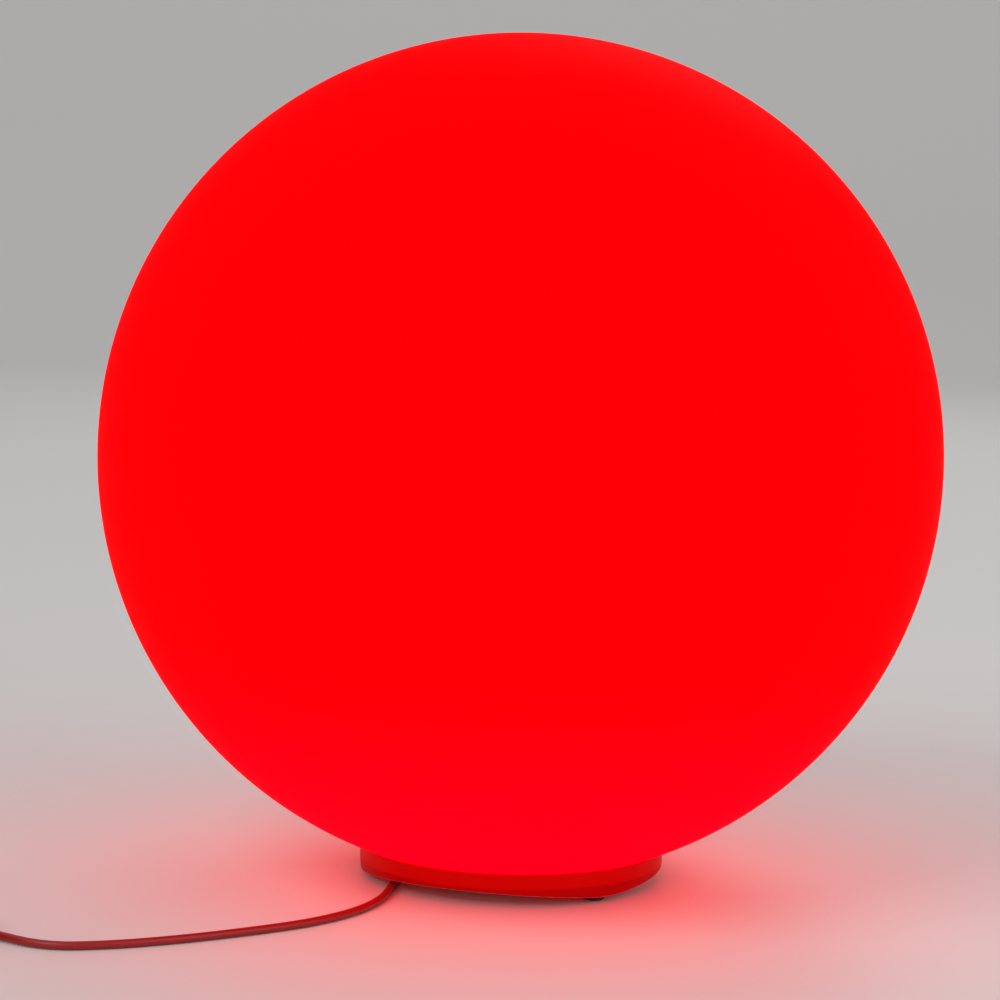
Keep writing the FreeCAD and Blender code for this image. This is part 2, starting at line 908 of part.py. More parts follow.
def make_capacitor():
    """A round smoothing capacitor that hangs from the board."""
    centre = vector("-board_radius * 0.27", "board_radius * 0.57", "board_level")
    down = FreeCAD.Vector(0, 0, -1)
    height = number("capacitor_height")
    can = Part.makeCylinder(4.0, height, centre, down)
    end = Part.makeCone(4.0, 3.5, 0.5, centre + down * height, down)
    neck = Part.makeCylinder(5.0, 0.8, centre + down * 1.5, down)
    neck = neck.cut(Part.makeCylinder(3.6, 0.8, centre + down * 1.5, down))
    solid_node("capacitor", can.fuse(end).cut(neck))


def make_choke():
    """A drum choke: two flanges with the winding between them."""
    centre = vector("board_radius * 0.27", "board_radius * 0.57", "board_level")
    down = FreeCAD.Vector(0, 0, -1)
    drum = Part.makeCylinder(4.2, number("choke_height"), centre, down)
    winding = number("choke_height - 2.4")
    waist = Part.makeCylinder(4.2, winding, centre + down * 1.2, down)
    waist = waist.cut(Part.makeCylinder(3.4, winding, centre + down * 1.2, down))
    solid_node("choke", drum.cut(waist))


def make_tact_switch():
    """The push switch over the mode button, with the bore that its plunger slides in."""
    centre = vector("0", "-button_place", "0")
    size = number("switch_size")
    low, high = number("switch_level"), number("board_level")
    case = block(centre, size, size, low, high)
    edges = [e for e in case.Edges if abs(e.Length - (high - low)) < 1e-6]
    case = case.makeChamfer(0.6, edges)
    bore_radius = number("plunger_radius + running_gap")
    bore = Part.makeCylinder(bore_radius, high - low - 0.6, FreeCAD.Vector(centre.x, centre.y, low))
    solid_node("tact_switch", case.cut(bore))


def make_switch_plunger():
    """The switch's plunger stands on the button's stem and moves with it."""
    centre = vector("0", "-button_place", "stem_top")
    reach = number("switch_level + 1.5 - stem_top")
    solid_node("switch_plunger", Part.makeCylinder(number("plunger_radius"), reach, centre))


# ---------------------------------------------------------------- light engine


def make_wire_grommet():
    body = new_body("wire_grommet")
    revolve(
        body,
        "grommet",
        [
            ("wire_hole / 2", "deck_level - 1.4"),
            ("wire_hole + 1.8", "deck_level - 1.4"),
            ("wire_hole + 1.8", "deck_level"),
            ("wire_hole", "deck_level"),
            ("wire_hole", "plug_height"),
            ("wire_hole / 2", "plug_height"),
        ],
    )


def make_heat_spreader():
    """The aluminium disc that the LED board and the clear dome are screwed to."""
    body = new_body("heat_spreader")
    revolve(
        body,
        "disc",
        [
            ("wire_hole + 0.4", "plug_height"),
            ("spreader_radius - 0.5", "plug_height"),
            ("spreader_radius", "plug_height + 0.5"),
            ("spreader_radius", "spreader_top"),
            ("wire_hole + 0.4", "spreader_top"),
        ],
    )
    screw = round_post(
        body,
        "spreader_hole",
        "led_screw_place",
        "90 + base_turn",
        "pilot_radius + screw_clearance",
        "plug_height - 1",
        "spreader_top + 1",
        kind="Pocket",
    )
    around(body, screw, "foot_count")
    dome_hole = round_post(
        body,
        "dome_screw_hole",
        "dome_screw_place",
        "45",
        "small_pilot",
        "plug_height - 1",
        "spreader_top + 1",
        kind="Pocket",
    )
    around(body, dome_hole, "4")


def make_led_board():
    body = new_body("led_board")
    revolve(
        body, "led_disc", box_corners("wire_hole", "led_board_radius", "spreader_top", "led_board_top")
    )
    hole = round_post(
        body,
        "led_board_hole",
        "led_screw_place",
        "90 + base_turn",
        "pilot_radius + screw_clearance",
        "spreader_top - 1",
        "led_board_top + 1",
        kind="Pocket",
    )
    around(body, hole, "foot_count")


def led_chip(place, angle):
    """One colour-changing LED: a square case with an eight-sided well for its three dies."""
    seat = polar(place, angle, number("led_board_top"))
    size, height = number("led_size"), number("led_height")
    case = block(FreeCAD.Vector(0, 0, 0), size, size, 0, height)
    rim = [polar(size * 0.4, 45 * (k + 0.5), height * 0.6) for k in range(9)]
    case = case.cut(Part.Face(Part.makePolygon(rim)).extrude(FreeCAD.Vector(0, 0, height)))
    case.Placement = FreeCAD.Placement(seat, FreeCAD.Rotation(FreeCAD.Vector(0, 0, 1), angle))
    return case


def make_led_chips():
    """Two rings of LEDs. They stand between the board's screws and the leads."""
    chips = []
    for ring in ("outer", "inner"):
        count = int(SIZES[f"{ring}_leds"])
        place = number(f"{ring}_led_ring")
        chips += [led_chip(place, 360 / count * k) for k in range(count)]
    solid_node("led_chips", group(chips))


def make_led_board_screws():
    length = number("board_thickness + spreader_thickness + deck_thickness + deck_rib_height - 2")
    screws = [
        pan_screw(
            polar(number("led_screw_place"), 90 + number("base_turn") + 120 * k, number("led_board_top")),
            length,
            number("pilot_radius"),
        )
        for k in range(3)
    ]
    solid_node("led_board_screws", group(screws))


def make_led_leads():
    """A ribbon of four wires from the control board, through the grommet, to the LED board."""
    thickness = 2 * number("lead_radius")
    width = 4 * thickness
    low, top = number("board_top"), number("led_board_top")
    reach = number("(wire_hole + inner_led_ring - led_size / 2) / 2 - lead_radius")
    rise = top + 3 * thickness
    outline = [
        (0, low),
        (thickness, low),
        (thickness, rise - thickness),
        (2 * thickness, rise),
        (reach - thickness, rise),
        (reach, rise - thickness),
        (reach, top),
        (reach + thickness, top),
        (reach + thickness, rise),
        (reach, rise + thickness),
        (thickness, rise + thickness),
        (0, rise),
    ]
    corners = [FreeCAD.Vector(x - thickness / 2, -width / 2, z) for x, z in [*outline, outline[0]]]
    ribbon = Part.Face(Part.makePolygon(corners)).extrude(FreeCAD.Vector(0, width, 0))
    for k in (1, 2, 3):
        groove = FreeCAD.Vector(0, -width / 2 + k * thickness, 0)
        on_the_back = groove - FreeCAD.Vector(thickness / 2, 0, 0)
        ribbon = ribbon.cut(block(on_the_back, 0.4, 0.4, low, rise - thickness))
    solid_node("led_leads", ribbon)


def make_dome_gasket():
    body = new_body("dome_gasket")
    revolve(
        body,
        "dome_gasket_ring",
        box_corners("dome_mouth + 0.3", "spreader_radius - 0.2", "spreader_top", "dome_level"),
    )
    hole = round_post(
        body,
        "dome_gasket_hole",
        "dome_screw_place",
        "45",
        "small_pilot + screw_clearance",
        "spreader_top - 1",
        "dome_level + 1",
        kind="Pocket",
    )
    around(body, hole, "4")


def make_led_dome():
    """The clear cover over the LEDs: a low cap with sloping sides, a flat top and a screwed flange."""
    body = new_body("led_dome")
    revolve(
        body,
        "dome",
        [
            ("0", "dome_flange_top + dome_rise"),
            ("dome_top", "dome_flange_top + dome_rise"),
            ("dome_radius - 1", "dome_flange_top + dome_rise / 2"),
            ("dome_radius", "dome_flange_top"),
            ("spreader_radius - 0.2", "dome_flange_top"),
            ("spreader_radius - 0.2", "dome_level"),
            ("dome_mouth", "dome_level"),
            ("dome_mouth - 1", "dome_flange_top + dome_rise / 2 - 0.6"),
            ("dome_top - 0.6", "dome_flange_top + dome_rise - dome_wall"),
            ("0", "dome_flange_top + dome_rise - dome_wall"),
        ],
    )
    hole = round_post(
        body,
        "dome_hole",
        "dome_screw_place",
        "45",
        "small_pilot + screw_clearance",
        "dome_level - 1",
        "dome_flange_top + 1",
        kind="Pocket",
    )
    around(body, hole, "4")


def make_dome_screws():
    length = number("dome_flange + dome_gasket + spreader_thickness - 0.3")
    screws = [
        pan_screw(
            polar(number("dome_screw_place"), 45 + 90 * k, number("dome_flange_top")),
            length,
            number("small_pilot"),
        )
        for k in range(4)
    ]
    solid_node("dome_screws", group(screws))


# ---------------------------------------------------------------- gland


def along_x(radius, start, length):
    """A round bar along +X on the gland's axis."""
    place = FreeCAD.Vector(start, 0, number("gland_level"))
    return Part.makeCylinder(radius, length, place, FreeCAD.Vector(1, 0, 0))


def make_gland():
    """The gland in the end wall of the cord's bay: washer, body, cap and lock nut."""
    wall = number("bay_reach")
    washer = number("washer_thickness")
    flange = number("gland_flange")
    cap = number("gland_cap_length")
    shank = number("gland_shank")
    gap = number("running_gap")
    radius = number("gland_radius")
    nut_length = number("gland_nut_length")
    shank_length = number("bay_wall") + nut_length * 2
    whole = cap + flange + washer + shank_length
    bore = along_x(number("cord_bore"), wall - washer - flange - cap, whole)
    solid_node(
        "gland_washer", along_x(radius, wall - washer, washer).cut(along_x(shank + gap, wall - washer, washer))
    )
    axis = FreeCAD.Vector(wall - washer - flange, 0, number("gland_level"))
    body = hex_prism(axis, radius * 1.9, flange).fuse(along_x(shank, axis.x, shank_length + washer + flange))
    solid_node("gland_body", body.cut(bore))
    mouth = FreeCAD.Vector(axis.x - cap, 0, number("gland_level"))
    taper = cap * 0.6
    nose = Part.makeCone(radius * 0.62, radius, taper, mouth, FreeCAD.Vector(1, 0, 0))
    solid_node("gland_cap", nose.fuse(along_x(radius, mouth.x + taper, cap - taper)).cut(bore))
    nut_seat = FreeCAD.Vector(wall + number("bay_wall"), 0, number("gland_level"))
    nut = hex_prism(nut_seat, radius * 1.9, nut_length).cut(along_x(shank + gap, nut_seat.x, nut_length))
    solid_node("gland_nut", nut)


# ---------------------------------------------------------------- cord


def sweep(path, start, way, radius):
    """A tube along a smooth path. Its many-sided section has the area of a round one."""
    sides = 8
    reach = radius * math.sqrt(2 * math.pi / (sides * math.sin(2 * math.pi / sides)))
    along = FreeCAD.Vector(way).normalize()
    across = FreeCAD.Vector(-along.y, along.x, 0).normalize()
    up = along.cross(across)
    corners = []
    for k in range(sides + 1):
        angle = 2 * math.pi * (k + 0.5) / sides
        corners.append(start + across * (reach * math.cos(angle)) + up * (reach * math.sin(angle)))
    return path.makePipeShell([Part.makePolygon(corners)], True, False)


def rounded_path(points):
    """Straight runs through points, with a tangent arc at each corner.

    Each arc's radius is 0.45 of the shorter run, over the tangent of half the turn.
    """
    edges = []
    radii = []
    here = points[0]
    for before, corner, after in zip(points, points[1:], points[2:]):
        arriving = (corner - before).normalize()
        leaving = (after - corner).normalize()
        tangent = 0.45 * min(corner.distanceToPoint(before), corner.distanceToPoint(after))
        half_turn = arriving.getAngle(leaving) / 2
        radius = tangent / math.tan(half_turn)
        radii.append(radius)
        first, last = corner - arriving * tangent, corner + leaving * tangent
        inward = (leaving - arriving).normalize()
        middle = corner + inward * (radius / math.cos(half_turn) - radius)
        edges.append(Part.LineSegment(here, first).toShape())
        edges.append(Part.Arc(first, middle, last).toShape())
        here = last
    edges.append(Part.LineSegment(here, points[-1]).toShape())
    return Part.Wire(edges), radii


def tube_node(label, points):
    """A cord stretch as a tube, which prints its radii and how its volume compares."""
    radius = number("cord_radius")
    path, radii = rounded_path(points)
    tube = sweep(path, points[0], points[1] - points[0], radius)
    expected = math.pi * radius**2 * path.Length
    print(f"{label}: length {path.Length:.1f} mm, volume {tube.Volume / expected:.4f} of section x length")
    print(f"{label}: radii {', '.join(f'{r:.0f}' for r in radii)} mm")
    solid_node(label, tube)
    return path.Length


def coil_state(turn):
    """The coil's radius and layer height after so many turns, winding in and out at a steady rate."""
    per_layer = TURNS_PER_LAYER
    pitch = number("coil_pitch")
    outer = number("coil_radius") + per_layer * pitch / 2
    sweep_in = turn % (2 * per_layer)
    radius = outer - pitch * min(sweep_in, 2 * per_layer - sweep_in)
    layer = min(int((turn + 0.25) // per_layer), LAYERS - 1)
    climb = (turn + 0.25 - layer * per_layer) * 2 if layer else 1.0
    climbed = min(max(climb, 0.0), 1.0)
    smooth = climbed * climbed * (3 - 2 * climbed)
    steps = layer - 1 + smooth if layer else 0
    return radius, number("coil_floor") + steps * number("layer_pitch")


def coil_point(turn):
    radius, height = coil_state(turn)
    angle = COIL_ENTRY + 360 * turn
    return FreeCAD.Vector(*COIL_CENTRE, 0) + polar(radius, angle, height)


def coil_way(turn):
    """The unit direction of the coil's centreline."""
    total = TURNS_PER_LAYER * LAYERS
    small = 1e-4
    if turn < small or turn > total - small:
        angle = COIL_ENTRY + 90 + 360 * turn
        return polar(1.0, angle, 0)
    return (coil_point(turn + small) - coil_point(turn - small)).normalize()


def biarc(here, way_here, there, way_there):
    """Two arcs that join two points, tangent to each other and to the given ways."""
    chord = there - here
    both = way_here + way_there
    spread = 2 * (1 - way_here.dot(way_there))
    reach = chord.dot(both)
    if spread < 1e-9:
        length = chord.Length**2 / (2 * reach)
    else:
        length = (math.sqrt(reach**2 + spread * chord.Length**2) - reach) / spread
    middle = (here + there + (way_here - way_there) * length) * 0.5
    return [tangent_arc(here, way_here, middle), tangent_arc(there, way_there * -1, middle, True)]


def tangent_arc(start, way, end, backwards=False):
    """The arc from start, leaving along way, to end."""
    chord = end - start
    side = way * chord.Length - chord
    half_way = (way + chord.normalize()).normalize()
    quarter = (end - start).getAngle(way) / 2
    crown = start + half_way * (end.distanceToPoint(start) / 2 / math.cos(quarter))
    if side.Length < 1e-9:
        return Part.LineSegment(start, end).toShape()
    return Part.Arc(end, crown, start).toShape() if backwards else Part.Arc(start, crown, end).toShape()


def coil_clearance(total):
    """The least gap between the coil's turns, measured on points along its centreline."""
    steps = 96
    points = [coil_point(k / steps) for k in range(total * steps + 1)]
    near = steps // 2
    least = min(
        points[i].distanceToPoint(points[j])
        for i in range(0, len(points), 4)
        for j in range(i + near, min(i + 2 * TURNS_PER_LAYER * steps + near, len(points)))
    )
    return least - 2 * number("cord_radius")


def make_cord_coil():
    """The put-away length: one tube wound in and out in four layers, its ends straight."""
    total = TURNS_PER_LAYER * LAYERS
    stub = 2 * number("cord_radius")
    start, end = coil_point(0), coil_point(total)
    way = coil_way(0)
    first = start - way * stub
    last = end + way * stub
    edges = [Part.LineSegment(first, start).toShape()]
    for k in range(total * 4):
        here, there = k / 4, (k + 1) / 4
        edges += biarc(coil_point(here), coil_way(here), coil_point(there), coil_way(there))
    edges.append(Part.LineSegment(end, last).toShape())
    path = Part.Wire(edges)
    radius = number("cord_radius")
    coil = sweep(path, first, way, radius)
    expected = math.pi * radius**2 * path.Length
    print(f"cord_coil: length {path.Length:.1f} mm, volume {coil.Volume / expected:.4f} of section x length")
    print(f"cord_coil: least gap between turns {coil_clearance(total):.2f} mm")
    solid_node("cord_coil", coil)
    return first, last, path.Length


def make_cord():
    """The lead along the floor, the coil, and the tail that goes on to the connector."""
    start, end, coil_length = make_cord_coil()
    way = coil_way(0)
    gland_mouth = vector("gland_face", "0", "gland_level")
    route = [FreeCAD.Vector(*point) for point in LEAD_ROUTE]
    out_of_gland = gland_mouth - FreeCAD.Vector(FIRST_RUN, 0, 0)
    before_coil = start - way * LAST_RUN
    lead = tube_node("cord_lead", [gland_mouth, out_of_gland, *route, before_coil, start])
    boot = FreeCAD.Vector(*CONNECTOR_PLACE, number("ring_radius"))
    tail_route = [FreeCAD.Vector(*point) for point in TAIL_ROUTE]
    tail = tube_node("cord_tail", [end, end + way * TAIL_RUN, *tail_route, boot])
    print(f"whole cord outside the lamp: {lead + coil_length + tail:.0f} mm")


def make_inner_lead():
    """The cord inside the light, straight through the gland to the terminal block."""
    start = vector("gland_face", "0", "gland_level")
    end = vector("terminal_place - terminal_length / 2", "0", "gland_level")
    path, _ = rounded_path([start, end])
    solid_node("inner_lead", sweep(path, start, end - start, number("cord_radius")))


def make_cord_tie():
    """A flat tie round the coil's bundle of turns, on the side away from the light's cord."""
    thickness, width = number("tie_thickness"), number("tie_width")
    gap = 2 * number("running_gap")
    half_bundle = number("coil_pitch") * TURNS_PER_LAYER / 2 + number("cord_radius") * 1.05 + gap
    top = number("coil_floor + cord_radius * 1.05") + (LAYERS - 1) * number("layer_pitch") + gap
    inner = block(FreeCAD.Vector(0, 0, 0), 2 * half_bundle, width, thickness, top)
    outer = block(FreeCAD.Vector(0, 0, 0), 2 * (half_bundle + thickness), width, 0, top + thickness)
    along = [e for e in outer.Edges if abs(e.Length - width) < 1e-6]
    band = outer.makeFillet(thickness * 2, along).cut(inner)
    tongue = block(FreeCAD.Vector(0, 0, 0), half_bundle, width * 0.8, top + thickness, top + 2 * thickness)
    band = band.fuse(tongue)
    turn = FreeCAD.Rotation(FreeCAD.Vector(0, 0, 1), COIL_ENTRY + 180)
    place = FreeCAD.Vector(*COIL_CENTRE, 0) + polar(number("coil_radius"), COIL_ENTRY + 180, 0)
    band.Placement = FreeCAD.Placement(place, turn)
    solid_node("cord_tie", band)


# ---------------------------------------------------------------- connector


def turned_along_y(outline):
    """A solid turned about the connector's axis from (distance along it, radius) points."""
    place = FreeCAD.Vector(*CONNECTOR_PLACE, number("ring_radius"))
    points = [place + FreeCAD.Vector(0, along, radius) for along, radius in outline]
    face = Part.Face(Part.makePolygon([*points, points[0]]))
    return face.revolve(place, FreeCAD.Vector(0, 1, 0), 360)


def make_connector():
    """The cord's plug: boot, body, pins and seal, with a coupling ring that spins on the body."""
    gap = number("running_gap")
    cord = number("cord_radius")
    boot = number("boot_length")
    body = number("connector_length")
    radius = number("connector_radius")
    flange = number("connector_flange")
    lip = number("ring_lip")
    ring_radius = number("ring_radius")
    ring_length = number("ring_length")
    face = boot + body
    flange_thickness = 2.5
    ring_start = face - flange_thickness - lip - 2 * gap
    nose = radius * 0.78
    solid_node(
        "connector_boot",
        cut_boot_ribs(
            turned_along_y([(0, 0), (0, cord + 0.9), (boot, radius * 0.86), (boot, 0)]), boot, radius
        ),
    )
    shell = turned_along_y(
        [
            (boot, 0),
            (boot, radius),
            (face - flange_thickness, radius),
            (face - flange_thickness, flange),
            (face, flange),
            (face, nose),
            (face + 5.0, nose),
            (face + 5.0, 0),
        ]
    )
    solid_node("connector_body", shell.cut(pin_bars(face, 5.0, gap)))
    solid_node("connector_pins", group(pin_solids(face)))
    solid_node(
        "connector_seal",
        turned_along_y(
            [
                (face, nose + gap),
                (face, flange - 0.5),
                (face + 1.2, flange - 0.5),
                (face + 1.2, nose + gap),
            ]
        ),
    )
    ring = turned_along_y(
        [
            (ring_start, radius + gap),
            (ring_start, ring_radius - 0.5),
            (ring_start + 0.5, ring_radius),
            (ring_start + ring_length - 0.5, ring_radius),
            (ring_start + ring_length, ring_radius - 0.5),
            (ring_start + ring_length, flange + gap),
            (ring_start + lip, flange + gap),
            (ring_start + lip, radius + gap),
        ]
    )
    solid_node("connector_ring", cut_flutes(ring, ring_start, ring_length, ring_radius))


def cut_boot_ribs(boot, length, radius):
    """Bending slots on the boot, which make it limber towards the cord."""
    for k in range(4):
        start = length * (0.14 + 0.2 * k)
        floor = radius * (0.42 + 0.1 * k)
        slot = turned_along_y([(start, floor), (start, radius), (start + 1.0, radius), (start + 1.0, floor)])
        boot = boot.cut(slot)
    return boot


def pin_bars(face, depth, gap):
    """The bores in the body's nose, one for each pin."""
    return group(pin_bar(face - 3.0, depth + 4.0, side, gap) for side in (-1, 1))


def pin_bar(start, length, side, gap=0.0):
    place = FreeCAD.Vector(*CONNECTOR_PLACE, number("ring_radius"))
    offset = FreeCAD.Vector(side * number("pin_spacing") / 2, start, 0)
    return Part.makeCylinder(number("pin_radius") + gap, length, place + offset, FreeCAD.Vector(0, 1, 0))


def pin_solids(face):
    """Two round pins with rounded ends."""
    pins = []
    for side in (-1, 1):
        pin = pin_bar(face - 3.0, number("pin_length") + 3.0, side)
        tip = face + number("pin_length")
        ends = [e for e in pin.Edges if abs(e.CenterOfMass.y - CONNECTOR_PLACE[1] - tip) < 1e-6]
        pins.append(pin.makeFillet(number("pin_radius") * 0.6, ends))
    return pins


def cut_flutes(ring, start, length, radius):
    """Finger grooves along the coupling ring."""
    place = FreeCAD.Vector(*CONNECTOR_PLACE, number("ring_radius"))
    count = 12
    for k in range(count):
        angle = math.radians(360 / count * (k + 0.5))
        reach = radius + 0.55
        offset = FreeCAD.Vector(reach * math.cos(angle), start + 2.0, reach * math.sin(angle))
        flute = Part.makeCylinder(1.0, length, place + offset, FreeCAD.Vector(0, 1, 0))
        ring = ring.cut(flute)
    return ring


# ---------------------------------------------------------------- build and export

MAKERS = [
    make_globe_shell,
    make_base_cup,
    make_neck_seal,
    make_foot_pads,
    make_bottom_cover,
    make_cover_gasket,
    make_cover_screws,
    make_mode_button,
    make_button_clip,
    make_button_seal,
    make_control_board,
    make_board_screws,
    make_terminal_block,
    make_control_chip,
    make_driver_transistors,
    make_capacitor,
    make_choke,
    make_tact_switch,
    make_switch_plunger,
    make_wire_grommet,
    make_heat_spreader,
    make_led_board,
    make_led_chips,
    make_led_board_screws,
    make_led_leads,
    make_dome_gasket,
    make_led_dome,
    make_dome_screws,
    make_gland,
    make_inner_lead,
    make_cord,
    make_cord_tie,
    make_connector,
]


def check_and_export():
    """Stops on any failed feature or bad solid, and then writes one file for each sub-part."""
    doc.recompute()
    failed = [o.Name for o in doc.Objects if {"Invalid", "Error"} & set(o.State)]
    if failed:
        raise RuntimeError(f"these features failed: {failed}")
    kinds = ("PartDesign::Body", "Part::Feature")
    nodes = [o for o in doc.Objects if o.TypeId in kinds]
    for node in nodes:
        if node.Shape.isNull() or not node.Shape.isValid():
            raise RuntimeError(f"{node.Label} has no valid solid")
    os.makedirs("parts", exist_ok=True)
    for node in nodes:
        node.Shape.exportStep(f"parts/{node.Label}.step")
    print(f"{len(nodes)} sub-parts written")


for maker in MAKERS:
    maker()
check_and_export()
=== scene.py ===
import json
import math
from functools import cache

import bmesh
import bpy
from bpy.props import FloatProperty, FloatVectorProperty, IntProperty, PointerProperty
from mathutils import Matrix, Vector


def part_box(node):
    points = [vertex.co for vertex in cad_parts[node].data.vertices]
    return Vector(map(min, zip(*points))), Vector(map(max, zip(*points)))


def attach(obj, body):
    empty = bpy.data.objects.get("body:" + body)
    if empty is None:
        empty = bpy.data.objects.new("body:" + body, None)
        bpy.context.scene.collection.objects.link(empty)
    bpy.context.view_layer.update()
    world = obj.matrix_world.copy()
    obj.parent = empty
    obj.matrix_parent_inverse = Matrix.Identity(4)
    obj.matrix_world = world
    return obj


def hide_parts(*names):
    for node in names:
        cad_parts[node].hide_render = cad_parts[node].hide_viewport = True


# The looks of a garden globe light: a glowing ball on a low three-footed base with a thin cord.
# Metres. +Z is up, the light stands on z = 0, and the camera looks along +Y.

bl_info = {
    "name": "Garden Globe Light",
    "version": (1, 0, 0),
    "blender": (4, 5, 0),
    "location": "3D View > Sidebar > Globe Light",
    "description": "Builds the looks of a glowing garden globe with its base, light engine and cord",
    "category": "Object",
}

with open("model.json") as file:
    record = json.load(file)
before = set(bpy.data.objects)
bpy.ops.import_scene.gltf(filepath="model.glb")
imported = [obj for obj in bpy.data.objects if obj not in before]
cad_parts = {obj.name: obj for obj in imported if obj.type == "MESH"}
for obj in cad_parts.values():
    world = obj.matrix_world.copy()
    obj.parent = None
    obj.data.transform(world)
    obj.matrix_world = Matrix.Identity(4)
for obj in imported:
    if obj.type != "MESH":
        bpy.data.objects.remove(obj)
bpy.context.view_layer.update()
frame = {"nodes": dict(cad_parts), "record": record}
NODES = frame["nodes"]
RECORD = frame["record"]
BODY_OF = {node: body for body, nodes in RECORD["behaviour"]["bodies"].items() for node in nodes}
SLOT_OF = {entry["node"]: entry["material_slot"] for entry in RECORD["subparts"]}


# ---------------------------------------------------------------- sizes, from the frame where it has them


def low(node):
    return Vector(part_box(node)[0])


def high(node):
    return Vector(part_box(node)[1])


def middle(node):
    return (low(node) + high(node)) / 2


GLOBE_RADIUS = 0.150
GLOBE_WALL = 0.0025
GLOBE_TOP = high("globe_shell").z
GLOBE_LEVEL = GLOBE_TOP - GLOBE_RADIUS
GLOBE_EDGE = low("globe_shell").z
NECK_BORE = 0.0499
NECK_OUTER = 0.0524
NECK_DEPTH = 0.026
LUG_COUNT = 3
LUG_SPAN = math.radians(14)
LUG_DEPTH = 0.002
LUG_BOTTOM = GLOBE_EDGE + 0.013
LUG_TOP = LUG_BOTTOM + 0.004
SKIRT_RADIUS = 0.0547
SKIRT_TOP = GLOBE_EDGE - 0.0003
SKIRT_WALL = 0.0026
FOOT_RADIUS = 0.0544
FOOT_LEVEL = low("base_cup").z
BAND_LEVEL = SKIRT_TOP - 0.005
ARCH_TOP = 0.0050
ARCH_RADIUS = 0.355
BASE_TURN = math.radians(8)
RIM_ROUND = 0.0006
FLANGE_LEVEL = SKIRT_TOP - 0.003
FLANGE_START = SKIRT_RADIUS - 0.006  # where the skirt's mesh starts, inside the flange

# The cord's route along the floor, the same points as in the part's source.
CORD_EXIT = (low("gland_cap").x, 0.0, middle("gland_cap").z)
LEAD_LEVEL = 0.0015
LEAD_ROUTE = [
    (-0.0245, -0.0030, 0.0054),
    (-0.0336, -0.0089, 0.0020),
    (-0.0394, -0.0180, LEAD_LEVEL),
    (-0.0420, -0.0315, LEAD_LEVEL),
    (-0.0436, -0.0500, LEAD_LEVEL),
    (-0.0515, -0.0705, LEAD_LEVEL),
    (-0.0665, -0.0885, LEAD_LEVEL),
    (-0.0865, -0.1025, LEAD_LEVEL),
    (-0.1075, -0.1150, LEAD_LEVEL),
    (-0.1290, -0.1245, LEAD_LEVEL),
    (-0.1495, -0.1280, LEAD_LEVEL),
]
TAIL_ROUTE = [(-0.2008, -0.0902, 0.0089), (-0.2040, -0.0815, 0.0072)]
BOOT_MOUTH = (-0.2040, -0.0730, 0.0072)
COIL_CENTRE = (-0.197, -0.121)
COIL_ENTRY = math.radians(58)
COIL_FLOOR = 0.00185
COIL_RADIUS = 0.0162
COIL_PITCH = 0.0033
LAYER_PITCH = 0.00325
TURNS_PER_LAYER = 3
LAYERS = 4
POINTS_PER_TURN = 24
CORD_STUB = 0.0028  # straight run at each end of the coil
FIRST_RUN = 0.011  # straight runs: out of the gland, up to the coil and away from it
LAST_RUN = 0.016
TAIL_RUN = 0.008

# Each ring of screws: node, radius of the shank, count, radius of the ring, first angle, heads up.
SCREW_RINGS = (
    ("cover_screws", 0.00125, 4, 0.0384, math.radians(45) + BASE_TURN, False),
    ("board_screws", 0.0009, 4, 0.0260, math.radians(45), True),
    ("led_board_screws", 0.00125, 3, 0.0310, math.radians(90) + BASE_TURN, True),
    ("dome_screws", 0.0009, 4, 0.0440, math.radians(45), True),
)
SCREW_HEAD = 1.4  # height of a screw's head over its shank's radius
# The two rings of LEDs: count and radius.
OUTER_LEDS = (12, 0.0230)
INNER_LEDS = (6, 0.0135)


# ---------------------------------------------------------------- properties


def length_property(name, description, default):
    return FloatProperty(name=name, description=description, default=default, unit="LENGTH")


def angle_property(name, description, degrees):
    return FloatProperty(
        name=name, description=description, default=math.radians(degrees), subtype="ANGLE"
    )


def colour_property(name, description, default):
    return FloatVectorProperty(
        name=name, description=description, default=default, size=3, subtype="COLOR"
    )


class GlobeLightSizes(bpy.types.PropertyGroup):
    lens: FloatProperty(
        name="Lens",
        description="Focal length of the camera, in millimetres",
        default=108.0,
        min=10.0,
    )
    camera_distance: length_property(
        "Camera Distance", "Distance of the camera in front of the light's axis", 1.06934
    )
    camera_height: length_property("Camera Height", "Height of the camera above the ground", 0.24424)
    camera_tilt: angle_property("Camera Tilt", "How far the camera looks down", 5.7912)
    camera_pan: angle_property("Camera Pan", "How far the camera looks to the right", -0.36997)
    camera_roll: angle_property("Camera Roll", "How far the picture is turned clockwise", 1.32)
    segments: IntProperty(
        name="Segments",
        description="Steps round each turned piece",
        default=128,
        min=16,
    )
    cord_diameter: length_property("Cord Diameter", "Diameter of the cord", 0.0028)


class GlobeLightColours(bpy.types.PropertyGroup):
    glow: colour_property("Glow", "Colour of the light that the globe gives", (1.0, 0.0, 0.002))
    glow_strength: FloatProperty(
        name="Glow Strength",
        description="How strongly the globe glows",
        default=0.85,
        min=0.0,
    )
    globe: colour_property(
        "Globe", "Colour of the globe's plastic as the light inside tints it", (0.80, 0.0, 0.0)
    )
    base: colour_property("Base", "Colour of the base moulding as the light tints it", (0.42, 0.0, 0.0))
    pad: colour_property("Pads", "Colour of the rubber pads as the light tints them", (0.10, 0.003, 0.003))
    cord: colour_property("Cord", "Colour of the cord's sheath as the light tints it", (0.34, 0.006, 0.006))
    ground: colour_property("Ground", "Colour of the floor and the backdrop", (0.80, 0.79, 0.78))


def sizes():
    return bpy.context.scene.globe_light_sizes


def colours():
    return bpy.context.scene.globe_light_colours


# ---------------------------------------------------------------- materials


